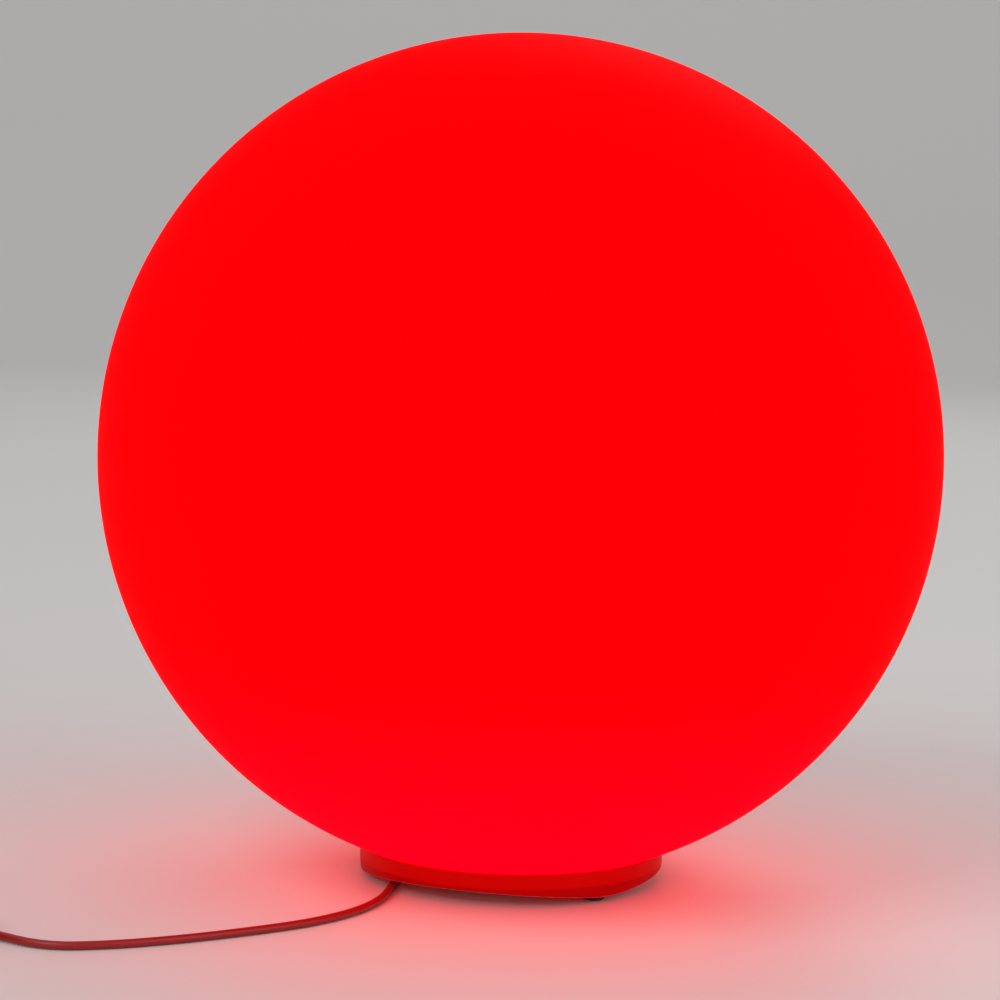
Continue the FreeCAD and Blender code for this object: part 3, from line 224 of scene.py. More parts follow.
def math_node(tree, operation, *values):
    """A maths node whose inputs are sockets or numbers."""
    node = tree.nodes.new("ShaderNodeMath")
    node.operation = operation
    for socket, value in zip(node.inputs, values):
        if isinstance(value, (int, float)):
            socket.default_value = value
        else:
            tree.links.new(value, socket)
    return node.outputs[0]


@cache
def moulded_grain():
    """A fine moulded surface: a faint grain, a slow change of gloss and a slight change of colour."""
    group = bpy.data.node_groups.new("moulded_grain", "ShaderNodeTree")
    for label, kind in (
        ("Vector", "Vector"),
        ("Colour", "Color"),
        ("Shade", "Float"),
        ("Grain Scale", "Float"),
        ("Patch Scale", "Float"),
        ("Roughness", "Float"),
        ("Roughness Spread", "Float"),
        ("Depth", "Float"),
    ):
        group.interface.new_socket(name=label, in_out="INPUT", socket_type=f"NodeSocket{kind}")
    for label, kind in (("Colour", "Color"), ("Roughness", "Float"), ("Normal", "Vector")):
        group.interface.new_socket(name=label, in_out="OUTPUT", socket_type=f"NodeSocket{kind}")
    nodes, links = group.nodes, group.links
    source = nodes.new("NodeGroupInput")
    result = nodes.new("NodeGroupOutput")

    def noise(scale, detail):
        made = nodes.new("ShaderNodeTexNoise")
        made.inputs["Detail"].default_value = detail
        links.new(source.outputs["Vector"], made.inputs["Vector"])
        links.new(source.outputs[scale], made.inputs["Scale"])
        return made.outputs["Fac"]

    grain = noise("Grain Scale", 3.0)
    centred = math_node(group, "SUBTRACT", noise("Patch Scale", 2.0), 0.5)
    spread, roughness = source.outputs["Roughness Spread"], source.outputs["Roughness"]
    gloss = math_node(group, "MULTIPLY_ADD", centred, spread, roughness)
    links.new(gloss, result.inputs["Roughness"])

    shade = math_node(group, "MULTIPLY_ADD", centred, source.outputs["Shade"], 1.0)
    tint = nodes.new("ShaderNodeVectorMath")
    tint.operation = "SCALE"
    links.new(source.outputs["Colour"], tint.inputs[0])
    links.new(shade, tint.inputs["Scale"])
    links.new(tint.outputs[0], result.inputs["Colour"])

    bump = nodes.new("ShaderNodeBump")
    bump.inputs["Strength"].default_value = 0.5
    links.new(source.outputs["Depth"], bump.inputs["Distance"])
    links.new(grain, bump.inputs["Height"])
    links.new(bump.outputs["Normal"], result.inputs["Normal"])
    return group


def surface(
    name, colour, roughness, metallic=0.0, grain=900.0, depth=0.00003, spread=0.08, shade=0.06, **plain
):
    """A material on the shared grain. Plain values go on the shader's own sockets."""
    material = bpy.data.materials.new(f"{name}_finish")
    material.use_nodes = True
    nodes, links = material.node_tree.nodes, material.node_tree.links
    shader = nodes["Principled BSDF"]
    shader.inputs["Metallic"].default_value = metallic
    for label, value in plain.items():
        shader.inputs[label.replace("_", " ")].default_value = value
    place = nodes.new("ShaderNodeTexCoord")
    finish = nodes.new("ShaderNodeGroup")
    finish.node_tree = moulded_grain()
    for label, value in (
        ("Colour", (*colour, 1.0)),
        ("Shade", shade),
        ("Grain Scale", grain),
        ("Patch Scale", 18.0),
        ("Roughness", roughness),
        ("Roughness Spread", spread),
        ("Depth", depth),
    ):
        finish.inputs[label].default_value = value
    links.new(place.outputs["Object"], finish.inputs["Vector"])
    for label, wanted in (("Colour", "Base Color"), ("Roughness", "Roughness"), ("Normal", "Normal")):
        links.new(finish.outputs[label], shader.inputs[wanted])
    return material


def mixed(material, factor, first, second):
    """A blend of two colours, each a socket or three numbers, by a factor's socket."""
    tree = material.node_tree
    blend = tree.nodes.new("ShaderNodeMix")
    blend.data_type = "RGBA"
    tree.links.new(factor, blend.inputs["Factor"])
    for label, value in (("A", first), ("B", second)):
        if isinstance(value, tuple):
            blend.inputs[label].default_value = (*value, 1.0)
        else:
            tree.links.new(value, blend.inputs[label])
    return blend.outputs["Result"]


def height_ramp(material, start, end, colour_start, colour_end):
    """A colour that changes with height, between two levels of the light."""
    nodes, links = material.node_tree.nodes, material.node_tree.links
    place = nodes.new("ShaderNodeTexCoord")
    parts = nodes.new("ShaderNodeSeparateXYZ")
    links.new(place.outputs["Object"], parts.inputs[0])
    level = nodes.new("ShaderNodeMapRange")
    level.interpolation_type = "SMOOTHSTEP"
    level.inputs["From Min"].default_value = start
    level.inputs["From Max"].default_value = end
    links.new(parts.outputs["Z"], level.inputs["Value"])
    return mixed(material, level.outputs["Result"], colour_start, colour_end)


def glow_with(material, colour):
    """Sends a colour's socket to the shader's glow."""
    shader = material.node_tree.nodes["Principled BSDF"]
    material.node_tree.links.new(colour, shader.inputs["Emission Color"])
    return material


def glowing_plastic():
    """The lit globe: an even red glow that turns slightly pink over the light engine."""
    hue = colours()
    material = surface(
        "glowing_plastic",
        hue.globe,
        0.5,
        grain=420.0,
        depth=0.00002,
        shade=0.02,
        Specular_IOR_Level=0.02,
        IOR=1.1,
        Emission_Strength=hue.glow_strength,
    )
    pink = (hue.glow[0], hue.glow[1], 0.014)
    pink_level, red_level = 0.012, 0.100
    return glow_with(material, height_ramp(material, pink_level, red_level, pink, tuple(hue.glow)))


def base_plastic():
    """The base in the globe's light, as painted light: a faint painted glow low down, a brighter painted
    glow on its upper band, and a painted highlight on its lower edge.
    """
    painted_low_light, painted_band_light, painted_edge_highlight = (0.08, 0.0, 0.0), (0.22, 0.0, 0.0), (0.36, 0.012, 0.02)
    material = surface(
        "base_plastic",
        colours().base,
        0.38,
        depth=0.00002,
        Specular_IOR_Level=0.1,
        IOR=1.3,
        Emission_Strength=1.0,
    )
    # Painted light: the upper band glows brighter than the tapered part below it, where the globe's light
    # falls.
    glow = height_ramp(material, BAND_LEVEL - 0.0006, BAND_LEVEL + 0.0004, painted_low_light, painted_band_light)
    # Painted highlight: the skirt's marked lower edge glows brightest.
    edge = material.node_tree.nodes.new("ShaderNodeAttribute")
    edge.attribute_name = "edge"
    return glow_with(material, mixed(material, edge.outputs["Fac"], glow, painted_edge_highlight))


def cord_sheath():
    return surface(
        "cord_sheath", colours().cord, 0.36, grain=1500.0, depth=0.00002, Specular_IOR_Level=0.5
    )


def clear_plastic():
    return surface(
        "clear_plastic",
        (0.95, 0.96, 0.97),
        0.06,
        depth=0.0,
        spread=0.02,
        shade=0.0,
        Transmission_Weight=1.0,
        IOR=1.49,
    )


# One maker for each finish that the CAD nodes name.
FINISHES = {
    "glowing_plastic": glowing_plastic,
    "base_plastic": base_plastic,
    "cord_sheath": cord_sheath,
    "clear_plastic": clear_plastic,
}
# Plain finishes: colour, roughness, and what departs from a plastic's grain.
METAL = {"metallic": 1.0, "depth": 0.00001}
PLAIN_FINISHES = {
    "cover_plastic": ((0.74, 0.74, 0.72), 0.42, {}),
    "seal_rubber": ((0.020, 0.020, 0.021), 0.75, {"grain": 1400.0, "depth": 0.00005}),
    "silicone": ((0.55, 0.55, 0.52), 0.6, {}),
    "steel": ((0.58, 0.58, 0.58), 0.3, {"grain": 2400.0, **METAL}),
    "spun_aluminium": ((0.78, 0.78, 0.79), 0.32, {"grain": 1600.0, **METAL}),
    "board_green": ((0.012, 0.115, 0.040), 0.35, {"grain": 2000.0}),
    "board_white": ((0.80, 0.80, 0.77), 0.4, {"grain": 2000.0}),
    "black_plastic": ((0.022, 0.022, 0.023), 0.45, {}),
    "led_case": (
        (0.85, 0.83, 0.72),
        0.25,
        {"Emission_Color": (1.0, 0.02, 0.02, 1.0), "Emission_Strength": 0.8},
    ),
    "ribbon": ((0.33, 0.33, 0.34), 0.5, {}),
    "capacitor_sleeve": ((0.02, 0.03, 0.07), 0.25, {}),
    "button_plastic": ((0.16, 0.16, 0.165), 0.5, {}),
    "terminal_plastic": ((0.03, 0.16, 0.06), 0.4, {}),
    "contact_metal": ((0.80, 0.64, 0.34), 0.25, {"grain": 2400.0, **METAL}),
}


@cache
def slot_finish(slot):
    if slot in FINISHES:
        return FINISHES[slot]()
    shade, roughness, departures = PLAIN_FINISHES[slot]
    return surface(slot, shade, roughness, **departures)


def finish_of(node):
    """The finish for a CAD node's slot, made once."""
    return slot_finish(SLOT_OF[node])


# ---------------------------------------------------------------- meshes


def shown_object(name, mesh, material):
    made = bpy.data.objects.new(name, mesh)
    mesh.materials.clear()
    mesh.materials.append(material)
    bpy.context.scene.collection.objects.link(made)
    return made


def outward(mesh):
    """Merges doubles and points every face outwards."""
    shell = bmesh.new()
    shell.from_mesh(mesh)
    bmesh.ops.remove_doubles(shell, verts=shell.verts, dist=1e-7)
    bmesh.ops.recalc_face_normals(shell, faces=shell.faces)
    shell.to_mesh(mesh)
    shell.free()


def smooth_by_angle(mesh, degrees):
    """Smooth faces, with sharp edges where they meet at more than an angle."""
    shell = bmesh.new()
    shell.from_mesh(mesh)
    limit = math.radians(degrees)
    for edge in shell.edges:
        edge.smooth = len(edge.link_faces) == 2 and edge.calc_face_angle(math.pi) < limit
    for face in shell.faces:
        face.smooth = True
    shell.to_mesh(mesh)
    shell.free()


def merged_copy(node):
    """The CAD node's mesh with its loose triangles joined."""
    mesh = NODES[node].data.copy()
    shell = bmesh.new()
    shell.from_mesh(mesh)
    bmesh.ops.remove_doubles(shell, verts=shell.verts, dist=2e-7)
    bmesh.ops.dissolve_degenerate(shell, edges=shell.edges, dist=1e-8)
    shell.to_mesh(mesh)
    shell.free()
    return mesh


def swept(name, sections, degrees, full_ring=True, closed=True):
    """A smooth mesh through sections round the upright axis.

    Each section is its angle and its outline, a list of (radius, height) points. The sections go all
    the way round, or end in two flat faces. The outlines are closed, or start and end on the axis.
    """
    shell = bmesh.new()
    rows = [
        [shell.verts.new((r * math.cos(angle), r * math.sin(angle), z)) for r, z in outline]
        for angle, outline in sections
    ]
    count = len(rows[0])
    following = rows[1:] + rows[:1] if full_ring else rows[1:]
    for here, there in zip(rows, following):
        for k in range(count if closed else count - 1):
            after = (k + 1) % count
            shell.faces.new((here[k], here[after], there[after], there[k]))
    if not full_ring:
        shell.faces.new(rows[0])
        shell.faces.new(rows[-1])
    mesh = bpy.data.meshes.new(name)
    shell.to_mesh(mesh)
    shell.free()
    outward(mesh)
    smooth_by_angle(mesh, degrees)
    return mesh


def round_angles(steps, shift=0.0):
    """Evenly spaced angles all the way round, the first one shifted by a part of a step."""
    return [2 * math.pi * (j + shift) / steps for j in range(steps)]


def stand_in(made, *nodes):
    """Puts a finished object in place of CAD nodes, on their body."""
    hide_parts(*nodes)
    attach(made, BODY_OF[nodes[0]])


def dress(node, rounding=0.0, degrees=28.0):
    """A smooth-shaded copy of a CAD node in its own finish, with softened edges where it has a rounding."""
    mesh = merged_copy(node)
    made = shown_object(f"{node}_piece", mesh, finish_of(node))
    if rounding:
        soften(made, rounding, degrees)
    smooth_by_angle(made.data, degrees)
    stand_in(made, node)
    return made


def soften(made, rounding, degrees):
    """Bevels the sharp edges and applies it."""
    edge = made.modifiers.new("soft_edges", "BEVEL")
    edge.width = rounding
    edge.segments = 2
    edge.limit_method = "ANGLE"
    edge.angle_limit = math.radians(degrees)
    edge.use_clamp_overlap = True
    plain_mesh(made)


def plain_mesh(made):
    """Turns an object's evaluated shape into its own plain mesh, with no modifier left."""
    evaluated = made.evaluated_get(bpy.context.evaluated_depsgraph_get())
    mesh = bpy.data.meshes.new_from_object(evaluated)
    made.modifiers.clear()
    old = made.data
    made.data = mesh
    bpy.data.meshes.remove(old)


# ---------------------------------------------------------------- node trees


def new_tree(name, **inputs):
    """A Geometry Nodes tree, its inputs' identifiers by label, and its input node.

    Each input is its name with the kind of its socket. A material comes last.
    """
    tree = bpy.data.node_groups.new(name, "GeometryNodeTree")
    sockets = tree.interface
    sockets.new_socket(name="Geometry", in_out="INPUT", socket_type="NodeSocketGeometry")
    identifiers = {}
    for word, kind in {**inputs, "Material": "Material"}.items():
        label = word.replace("_", " ")
        made = sockets.new_socket(name=label, in_out="INPUT", socket_type=f"NodeSocket{kind}")
        identifiers[label] = made.identifier
    sockets.new_socket(name="Geometry", in_out="OUTPUT", socket_type="NodeSocketGeometry")
    return tree, identifiers, tree.nodes.new("NodeGroupInput")


def placed_round(tree, reach, angle, level):
    """A vector at a radius and an angle round the upright axis."""
    spot = tree.nodes.new("ShaderNodeCombineXYZ")
    for label, turned in (("X", "COSINE"), ("Y", "SINE")):
        across = math_node(tree, "MULTIPLY", reach, math_node(tree, turned, angle))
        tree.links.new(across, spot.inputs[label])
    tree.links.new(level, spot.inputs["Z"])
    return spot.outputs[0]


@cache
def lathe_tree():
    """Turns the points of a profile curve, in X and Z, about the upright axis."""
    tree, identifiers, source = new_tree("lathe", Profile="Object", Segments="Int")
    nodes, links = tree.nodes, tree.links

    profile = nodes.new("GeometryNodeObjectInfo")
    links.new(source.outputs["Profile"], profile.inputs["Object"])
    points = nodes.new("GeometryNodeCurveToPoints")
    points.mode = "EVALUATED"
    links.new(profile.outputs["Geometry"], points.inputs["Curve"])
    count = nodes.new("GeometryNodeAttributeDomainSize")
    count.component = "POINTCLOUD"
    links.new(points.outputs["Points"], count.inputs["Geometry"])

    grid = nodes.new("GeometryNodeMeshGrid")
    around = math_node(tree, "ADD", source.outputs["Segments"], 1.0)
    links.new(around, grid.inputs["Vertices X"])
    links.new(count.outputs["Point Count"], grid.inputs["Vertices Y"])
    grid.inputs["Size X"].default_value = 1.0
    grid.inputs["Size Y"].default_value = 1.0

    place = nodes.new("GeometryNodeInputPosition").outputs["Position"]
    parts = nodes.new("ShaderNodeSeparateXYZ")
    links.new(place, parts.inputs[0])
    turn = math_node(tree, "MULTIPLY", math_node(tree, "ADD", parts.outputs["X"], 0.5), 2 * math.pi)
    along = math_node(tree, "ADD", parts.outputs["Y"], 0.5)
    last = math_node(tree, "SUBTRACT", count.outputs["Point Count"], 1.0)
    index = math_node(tree, "ROUND", math_node(tree, "MULTIPLY", along, last))

    sample = nodes.new("GeometryNodeSampleIndex")
    sample.data_type = "FLOAT_VECTOR"
    sample.domain = "POINT"
    links.new(points.outputs["Points"], sample.inputs["Geometry"])
    links.new(place, sample.inputs["Value"])
    links.new(index, sample.inputs["Index"])
    profile_parts = nodes.new("ShaderNodeSeparateXYZ")
    links.new(sample.outputs["Value"], profile_parts.inputs[0])

    turned = placed_round(tree, profile_parts.outputs["X"], turn, profile_parts.outputs["Z"])
    moved = nodes.new("GeometryNodeSetPosition")
    links.new(grid.outputs["Mesh"], moved.inputs["Geometry"])
    links.new(turned, moved.inputs["Position"])

    joined = nodes.new("GeometryNodeMergeByDistance")
    joined.inputs["Distance"].default_value = 1e-7
    links.new(moved.outputs["Geometry"], joined.inputs["Geometry"])
    close_tree(tree, joined.outputs["Geometry"], source)
    return tree, identifiers


@cache
def ring_tree():
    """Copies of a part, evenly spaced round the light's axis and turned with it."""
    tree, identifiers, source = new_tree(
        "ring_of_parts",
        Part="Object",
        Count="Int",
        Ring_Radius="Float",
        Level="Float",
        First_Angle="Float",
    )
    nodes, links = tree.nodes, tree.links

    points = nodes.new("GeometryNodePoints")
    links.new(source.outputs["Count"], points.inputs["Count"])
    step = math_node(tree, "DIVIDE", 2 * math.pi, source.outputs["Count"])
    index = nodes.new("GeometryNodeInputIndex")
    walked = math_node(tree, "MULTIPLY", index.outputs[0], step)
    angle = math_node(tree, "ADD", walked, source.outputs["First Angle"])
    spot = placed_round(tree, source.outputs["Ring Radius"], angle, source.outputs["Level"])
    links.new(spot, points.inputs["Position"])

    part = nodes.new("GeometryNodeObjectInfo")
    links.new(source.outputs["Part"], part.inputs["Object"])
    facing = nodes.new("ShaderNodeCombineXYZ")
    links.new(angle, facing.inputs["Z"])
    copies = nodes.new("GeometryNodeInstanceOnPoints")
    links.new(points.outputs[0], copies.inputs["Points"])
    links.new(part.outputs["Geometry"], copies.inputs["Instance"])
    links.new(facing.outputs[0], copies.inputs["Rotation"])
    close_tree(tree, copies.outputs["Instances"], source)
    return tree, identifiers


def close_tree(tree, geometry, source):
    """Ends a tree in real geometry with its material."""
    result = tree.nodes.new("NodeGroupOutput")
    real = tree.nodes.new("GeometryNodeRealizeInstances")
    painted = tree.nodes.new("GeometryNodeSetMaterial")
    tree.links.new(geometry, real.inputs["Geometry"])
    tree.links.new(real.outputs["Geometry"], painted.inputs["Geometry"])
    tree.links.new(source.outputs["Material"], painted.inputs["Material"])
    tree.links.new(painted.outputs["Geometry"], result.inputs["Geometry"])


def grown(name, tree_and_inputs, values, material):
    """An object whose plain mesh a tree has made from the values."""
    tree, identifiers = tree_and_inputs
    made = shown_object(name, bpy.data.meshes.new(name), material)
    modifier = made.modifiers.new("build", "NODES")
    modifier.node_group = tree
    for label, value in {**values, "Material": material}.items():
        modifier[identifiers[label]] = value
    plain_mesh(made)
    outward(made.data)
    return made


def lathe(name, profile, material, segments=None, degrees=30.0):
    """A turned piece from its profile, a list of (radius, height) points."""
    line = bpy.data.curves.new(f"{name}_profile", "CURVE")
    line.dimensions = "3D"
    spline = line.splines.new("POLY")
    spline.points.add(len(profile) - 1)
    for point, (radius, height) in zip(spline.points, profile):
        point.co = (radius, 0.0, height, 1.0)
    guide = bpy.data.objects.new(f"{name}_profile", line)
    bpy.context.scene.collection.objects.link(guide)
    values = {"Profile": guide, "Segments": segments or sizes().segments}
    made = grown(name, lathe_tree(), values, material)
    bpy.data.objects.remove(guide)
    bpy.data.curves.remove(line)
    smooth_by_angle(made.data, degrees)
    return made


def arc(centre, radius, start, end, steps):
    """Points of an arc in a profile, its angles in degrees from the outward direction."""
    return [
        (
            centre[0] + radius * math.cos(math.radians(start + (end - start) * k / steps)),
            centre[1] + radius * math.sin(math.radians(start + (end - start) * k / steps)),
        )
        for k in range(steps + 1)
    ]


def join(name, meshes, material):
    """One object from several meshes."""
    whole = bmesh.new()
    for mesh in meshes:
        whole.from_mesh(mesh)
    result = bpy.data.meshes.new(name)
    whole.to_mesh(result)
    whole.free()
    return shown_object(name, result, material)


# ---------------------------------------------------------------- stage


class BuildStage(bpy.types.Operator):
    """Sets up the camera, the floor with its backdrop, and the soft lamps"""

    bl_idname = "globe_light.build_stage"
    bl_label = "Build Stage"

    def execute(self, context):
        self.add_camera(context)
        self.add_floor()
        self.add_lamps(context)
        return {"FINISHED"}

    def add_camera(self, context):
        """The camera stands where the photograph was taken from."""
        size = sizes()
        tilt, pan, roll = size.camera_tilt, size.camera_pan, size.camera_roll
        ahead = Vector(
            (math.sin(pan) * math.cos(tilt), math.cos(pan) * math.cos(tilt), -math.sin(tilt))
        )
        level = Vector((math.cos(pan), -math.sin(pan), 0.0))
        up = level.cross(ahead)
        right = level * math.cos(roll) + up * math.sin(roll)
        top = up * math.cos(roll) - level * math.sin(roll)
        camera = bpy.data.cameras.new("camera")
        camera.lens = size.lens
        camera.sensor_width = 36.0
        camera.clip_start = 0.01
        made = bpy.data.objects.new("camera", camera)
        turn = Matrix((right, top, -ahead)).transposed().to_4x4()
        spot = Matrix.Translation((0.0, -size.camera_distance, size.camera_height))
        made.matrix_world = spot @ turn
        context.scene.collection.objects.link(made)
        context.scene.camera = made

    def add_floor(self):
        """A floor that curves up into a backdrop behind the light."""
        half, back, rise, bend, steps = 6.0, 3.0, 4.0, 1.2, 12
        profile = [(-half, 0.0), (back, 0.0)]
        profile += [
            (back + bend * math.sin(a), bend * (1 - math.cos(a)))
            for a in (math.pi / 2 * k / steps for k in range(1, steps + 1))
        ]
        profile.append((back + bend, rise))
        corners = [(side * half, y, z) for y, z in profile for side in (-1, 1)]
        faces = [(2 * k, 2 * k + 1, 2 * k + 3, 2 * k + 2) for k in range(len(profile) - 1)]
        mesh = bpy.data.meshes.new("ground")
        mesh.from_pydata(corners, [], faces)
        for face in mesh.polygons:
            face.use_smooth = True
        even = surface("ground", colours().ground, 0.5, depth=0.0, spread=0.0, shade=0.0)
        made = shown_object("ground", mesh, even)

    def add_lamps(self, context):
        """A soft key from the front left, a fill from the right, a weak lamp behind, and an even sky."""
        lit_point = Vector((0.0, 0.0, 0.13))
        for name, place, width, power in (
            ("key", (-1.6, -1.9, 2.2), 2.0, 26.0),
            ("fill", (2.0, -1.4, 1.4), 2.4, 12.0),
            ("rim", (0.6, 2.2, 1.9), 1.6, 9.0),
        ):
            lamp = bpy.data.lights.new(name, "AREA")
            lamp.shape = "DISK"
            lamp.size = width
            lamp.energy = power
            made = bpy.data.objects.new(name, lamp)
            made.location = place
            made.rotation_euler = (lit_point - Vector(place)).to_track_quat("-Z", "Y").to_euler()
            context.scene.collection.objects.link(made)
        world = bpy.data.worlds.new("sky")
        world.use_nodes = True
        sky = world.node_tree.nodes["Background"]
        sky.inputs["Color"].default_value = (1.0, 1.0, 1.0, 1.0)
        sky.inputs["Strength"].default_value = 0.45
        context.scene.world = world
        context.scene.view_settings.view_transform = "Standard"


# ---------------------------------------------------------------- cord


def coil_state(turn):
    """The coil's radius and height after so many turns, as the part's source winds it."""
    outer = COIL_RADIUS + TURNS_PER_LAYER * COIL_PITCH / 2
    within = turn % (2 * TURNS_PER_LAYER)
    radius = outer - COIL_PITCH * min(within, 2 * TURNS_PER_LAYER - within)
    layer = min(int((turn + 0.25) // TURNS_PER_LAYER), LAYERS - 1)
    climbed = min(max((turn + 0.25 - layer * TURNS_PER_LAYER) * 2, 0.0), 1.0)
    smooth = climbed * climbed * (3 - 2 * climbed)
    steps = layer - 1 + smooth if layer else 0
    return radius, COIL_FLOOR + steps * LAYER_PITCH


def coil_point(turn, swell=1.0):
    radius, height = coil_state(turn)
    angle = COIL_ENTRY + 2 * math.pi * turn
    ahead = Vector((math.cos(angle), math.sin(angle))) * radius * swell
    return Vector((*(Vector(COIL_CENTRE) + ahead), height))


def cord_points():
    """The whole cord's control points, from the gland to the connector's boot."""
    turns = TURNS_PER_LAYER * LAYERS
    steps = POINTS_PER_TURN
    swell = 1 / math.cos(math.pi / steps) ** 0.67  # the spline runs a little inside its control points
    way = Vector((-math.sin(COIL_ENTRY), math.cos(COIL_ENTRY), 0.0))
    entry = coil_point(0) - way * CORD_STUB
    leaving = coil_point(turns) + way * CORD_STUB
    coil = [coil_point(k / steps, swell) for k in range(turns * steps + 1)]
    mouth = Vector(CORD_EXIT)
    out_of_gland = mouth - Vector((FIRST_RUN, 0.0, 0.0))
    before = [mouth, out_of_gland, *map(Vector, LEAD_ROUTE), entry - way * LAST_RUN, entry]
    after = [leaving, leaving + way * TAIL_RUN, *map(Vector, TAIL_ROUTE), Vector(BOOT_MOUTH)]
    return before + coil + after


class BuildCord(bpy.types.Operator):
    """Builds the cord as one spline from the gland to the connector, with its tie"""

    bl_idname = "globe_light.build_cord"
    bl_label = "Build Cord"

    def execute(self, context):
        points = cord_points()
        line = bpy.data.curves.new("cord", "CURVE")
        line.dimensions = "3D"
        line.bevel_depth = sizes().cord_diameter / 2
        line.bevel_resolution = 4
        line.use_fill_caps = True
        line.resolution_u = 5
        spline = line.splines.new("NURBS")
        spline.points.add(len(points) - 1)
        for target, point in zip(spline.points, points):
            target.co = (*point, 1.0)
        spline.order_u = 3
        spline.use_endpoint_u = True
        line.materials.append(finish_of("cord_lead"))
        cord = bpy.data.objects.new("cord", line)
        context.scene.collection.objects.link(cord)
        stand_in(cord, "cord_lead", "cord_coil", "cord_tail")
        tie = dress("cord_tie")
        pieces = build_connector()
        return {"FINISHED"}


# ---------------------------------------------------------------- connector


def lay_along_y(mesh):
    """Lays a turned mesh's axis along the connector's, from the boot's mouth."""
    mesh.transform(Matrix.Translation(BOOT_MOUTH) @ Matrix.Rotation(math.radians(-90), 4, "X"))


def build_connector():
    """The coupling: ribbed boot, body, seal and pins, and the fluted ring that turns on the body."""
    length = high("connector_boot").y - low("connector_boot").y
    boot = lathe("connector_boot_piece", boot_profile(length), finish_of("connector_boot"), 48)
    lay_along_y(boot.data)
    stand_in(boot, "connector_boot")
    body = dress("connector_body", 0.0003)
    seal = dress("connector_seal")
    pins = dress("connector_pins")
    grip = fluted_ring()
    lay_along_y(grip)
    ring = shown_object("connector_ring_piece", grip, finish_of("connector_ring"))
    stand_in(ring, "connector_ring")
    return [boot, body, seal, pins, ring]


def boot_profile(length):
    """The boot narrows towards the cord and has four bending slots, deeper where it is narrow."""
    mouth, wide, rounding = 0.0023, 0.00447, 0.0003
    profile = [(0.0, 0.0), (mouth - rounding, 0.0), (mouth, rounding)]
    for k in range(4):
        share = 0.14 + 0.2 * k
        slot = length * share
        outer = mouth + (wide - mouth) * share
        floor = 0.0052 * (0.42 + 0.1 * k)
        profile += [
            (outer, slot - 0.0002),
            (outer - rounding, slot),
            (floor, slot + 0.0001),
            (floor, slot + 0.0009),
            (outer - 0.0002, slot + 0.0010),
            (outer + 0.0001, slot + 0.0012),
        ]
    profile += [(wide, length - 0.0002), (wide, length), (0.0, length)]
    return profile


def fluted_ring():
    """The coupling ring: a turned profile whose outside dips at twelve finger grooves."""
    start = low("connector_ring").y - BOOT_MOUTH[1]
    end = high("connector_ring").y - BOOT_MOUTH[1]
    outer, shoulder, bore, mouth = 0.0072, 0.0067, 0.00525, 0.00635
    lip, groove, flutes, steps_per_flute = 0.002, 0.00045, 12, 14

    def outline(angle):
        grooved = outer - groove * max(0.0, math.cos(angle * flutes + math.pi)) ** 1.5
        return [
            (bore, start),
            (shoulder, start),
            (outer, start + 0.0005),
            (outer, start + 0.0018),
            (grooved, start + 0.0024),
            (grooved, end - 0.0005),
            (shoulder, end),
            (mouth, end),
            (mouth, start + lip),
            (bore, start + lip),
        ]

    sections = [(angle, outline(angle)) for angle in round_angles(flutes * steps_per_flute)]
    return swept("connector_ring_piece", sections, 32)


# ---------------------------------------------------------------- globe


def globe_profile():
    """The ball's wall from its crown round to the neck, and back up the inside."""
    centre = (0.0, GLOBE_LEVEL)
    inner = GLOBE_RADIUS - GLOBE_WALL
    edge_angle = math.degrees(math.asin((GLOBE_EDGE - GLOBE_LEVEL) / GLOBE_RADIUS))
    root = -math.degrees(math.acos(NECK_OUTER / inner))
    lip, lip_angle = 0.0004, 0.16
    neck_top = GLOBE_EDGE + NECK_DEPTH
    profile = arc(centre, GLOBE_RADIUS, 90.0, edge_angle + lip_angle, 96)
    profile += [(SKIRT_RADIUS - lip * 1.2, GLOBE_EDGE), (NECK_BORE + lip, GLOBE_EDGE)]
    profile += [(NECK_BORE, GLOBE_EDGE + lip), (NECK_BORE, neck_top), (NECK_OUTER, neck_top)]
    profile += arc(centre, inner, root, 90.0, 64)
    profile[0] = (0.0, GLOBE_TOP)
    profile[-1] = (0.0, GLOBE_LEVEL + inner)
    return profile


def lug_mesh(angle):
    """One bayonet lug inside the neck, with rounded ends."""
    steps = 10
    back = NECK_BORE + 0.001
    sections = []
    for j in range(steps + 1):
        t = 2 * j / steps - 1
        front = NECK_BORE - LUG_DEPTH * (1 - abs(t) ** 6 * 0.35)
        outline = [(back, LUG_BOTTOM), (front, LUG_BOTTOM), (front, LUG_TOP), (back, LUG_TOP)]
        sections.append((angle + LUG_SPAN / 2 * t, outline))
    return swept("lug", sections, 30, full_ring=False)


class BuildGlobe(bpy.types.Operator):
    """Turns the glowing ball with its neck and adds the bayonet lugs"""

    bl_idname = "globe_light.build_globe"
    bl_label = "Build Globe"

    def execute(self, context):
        material = finish_of("globe_shell")
        shell = lathe("globe_wall", globe_profile(), material, sizes().segments * 2)
        lugs = [lug_mesh(BASE_TURN + angle) for angle in round_angles(LUG_COUNT)]
        globe = join("globe", [shell.data, *lugs], material)
        bpy.data.objects.remove(shell)
        stand_in(globe, "globe_shell")
        return {"FINISHED"}


# ---------------------------------------------------------------- base


def rim_level(angle):
    """Height of the skirt's lower edge: flat on the feet, and arched between them."""
    third = 2 * math.pi / 3
    around = (angle - BASE_TURN) % third
    from_middle = min(around, third - around)
    across = FOOT_RADIUS * math.sin(from_middle)
    arched = ARCH_TOP - ARCH_RADIUS + math.sqrt(ARCH_RADIUS**2 - across**2)
    return max(FOOT_LEVEL, arched)


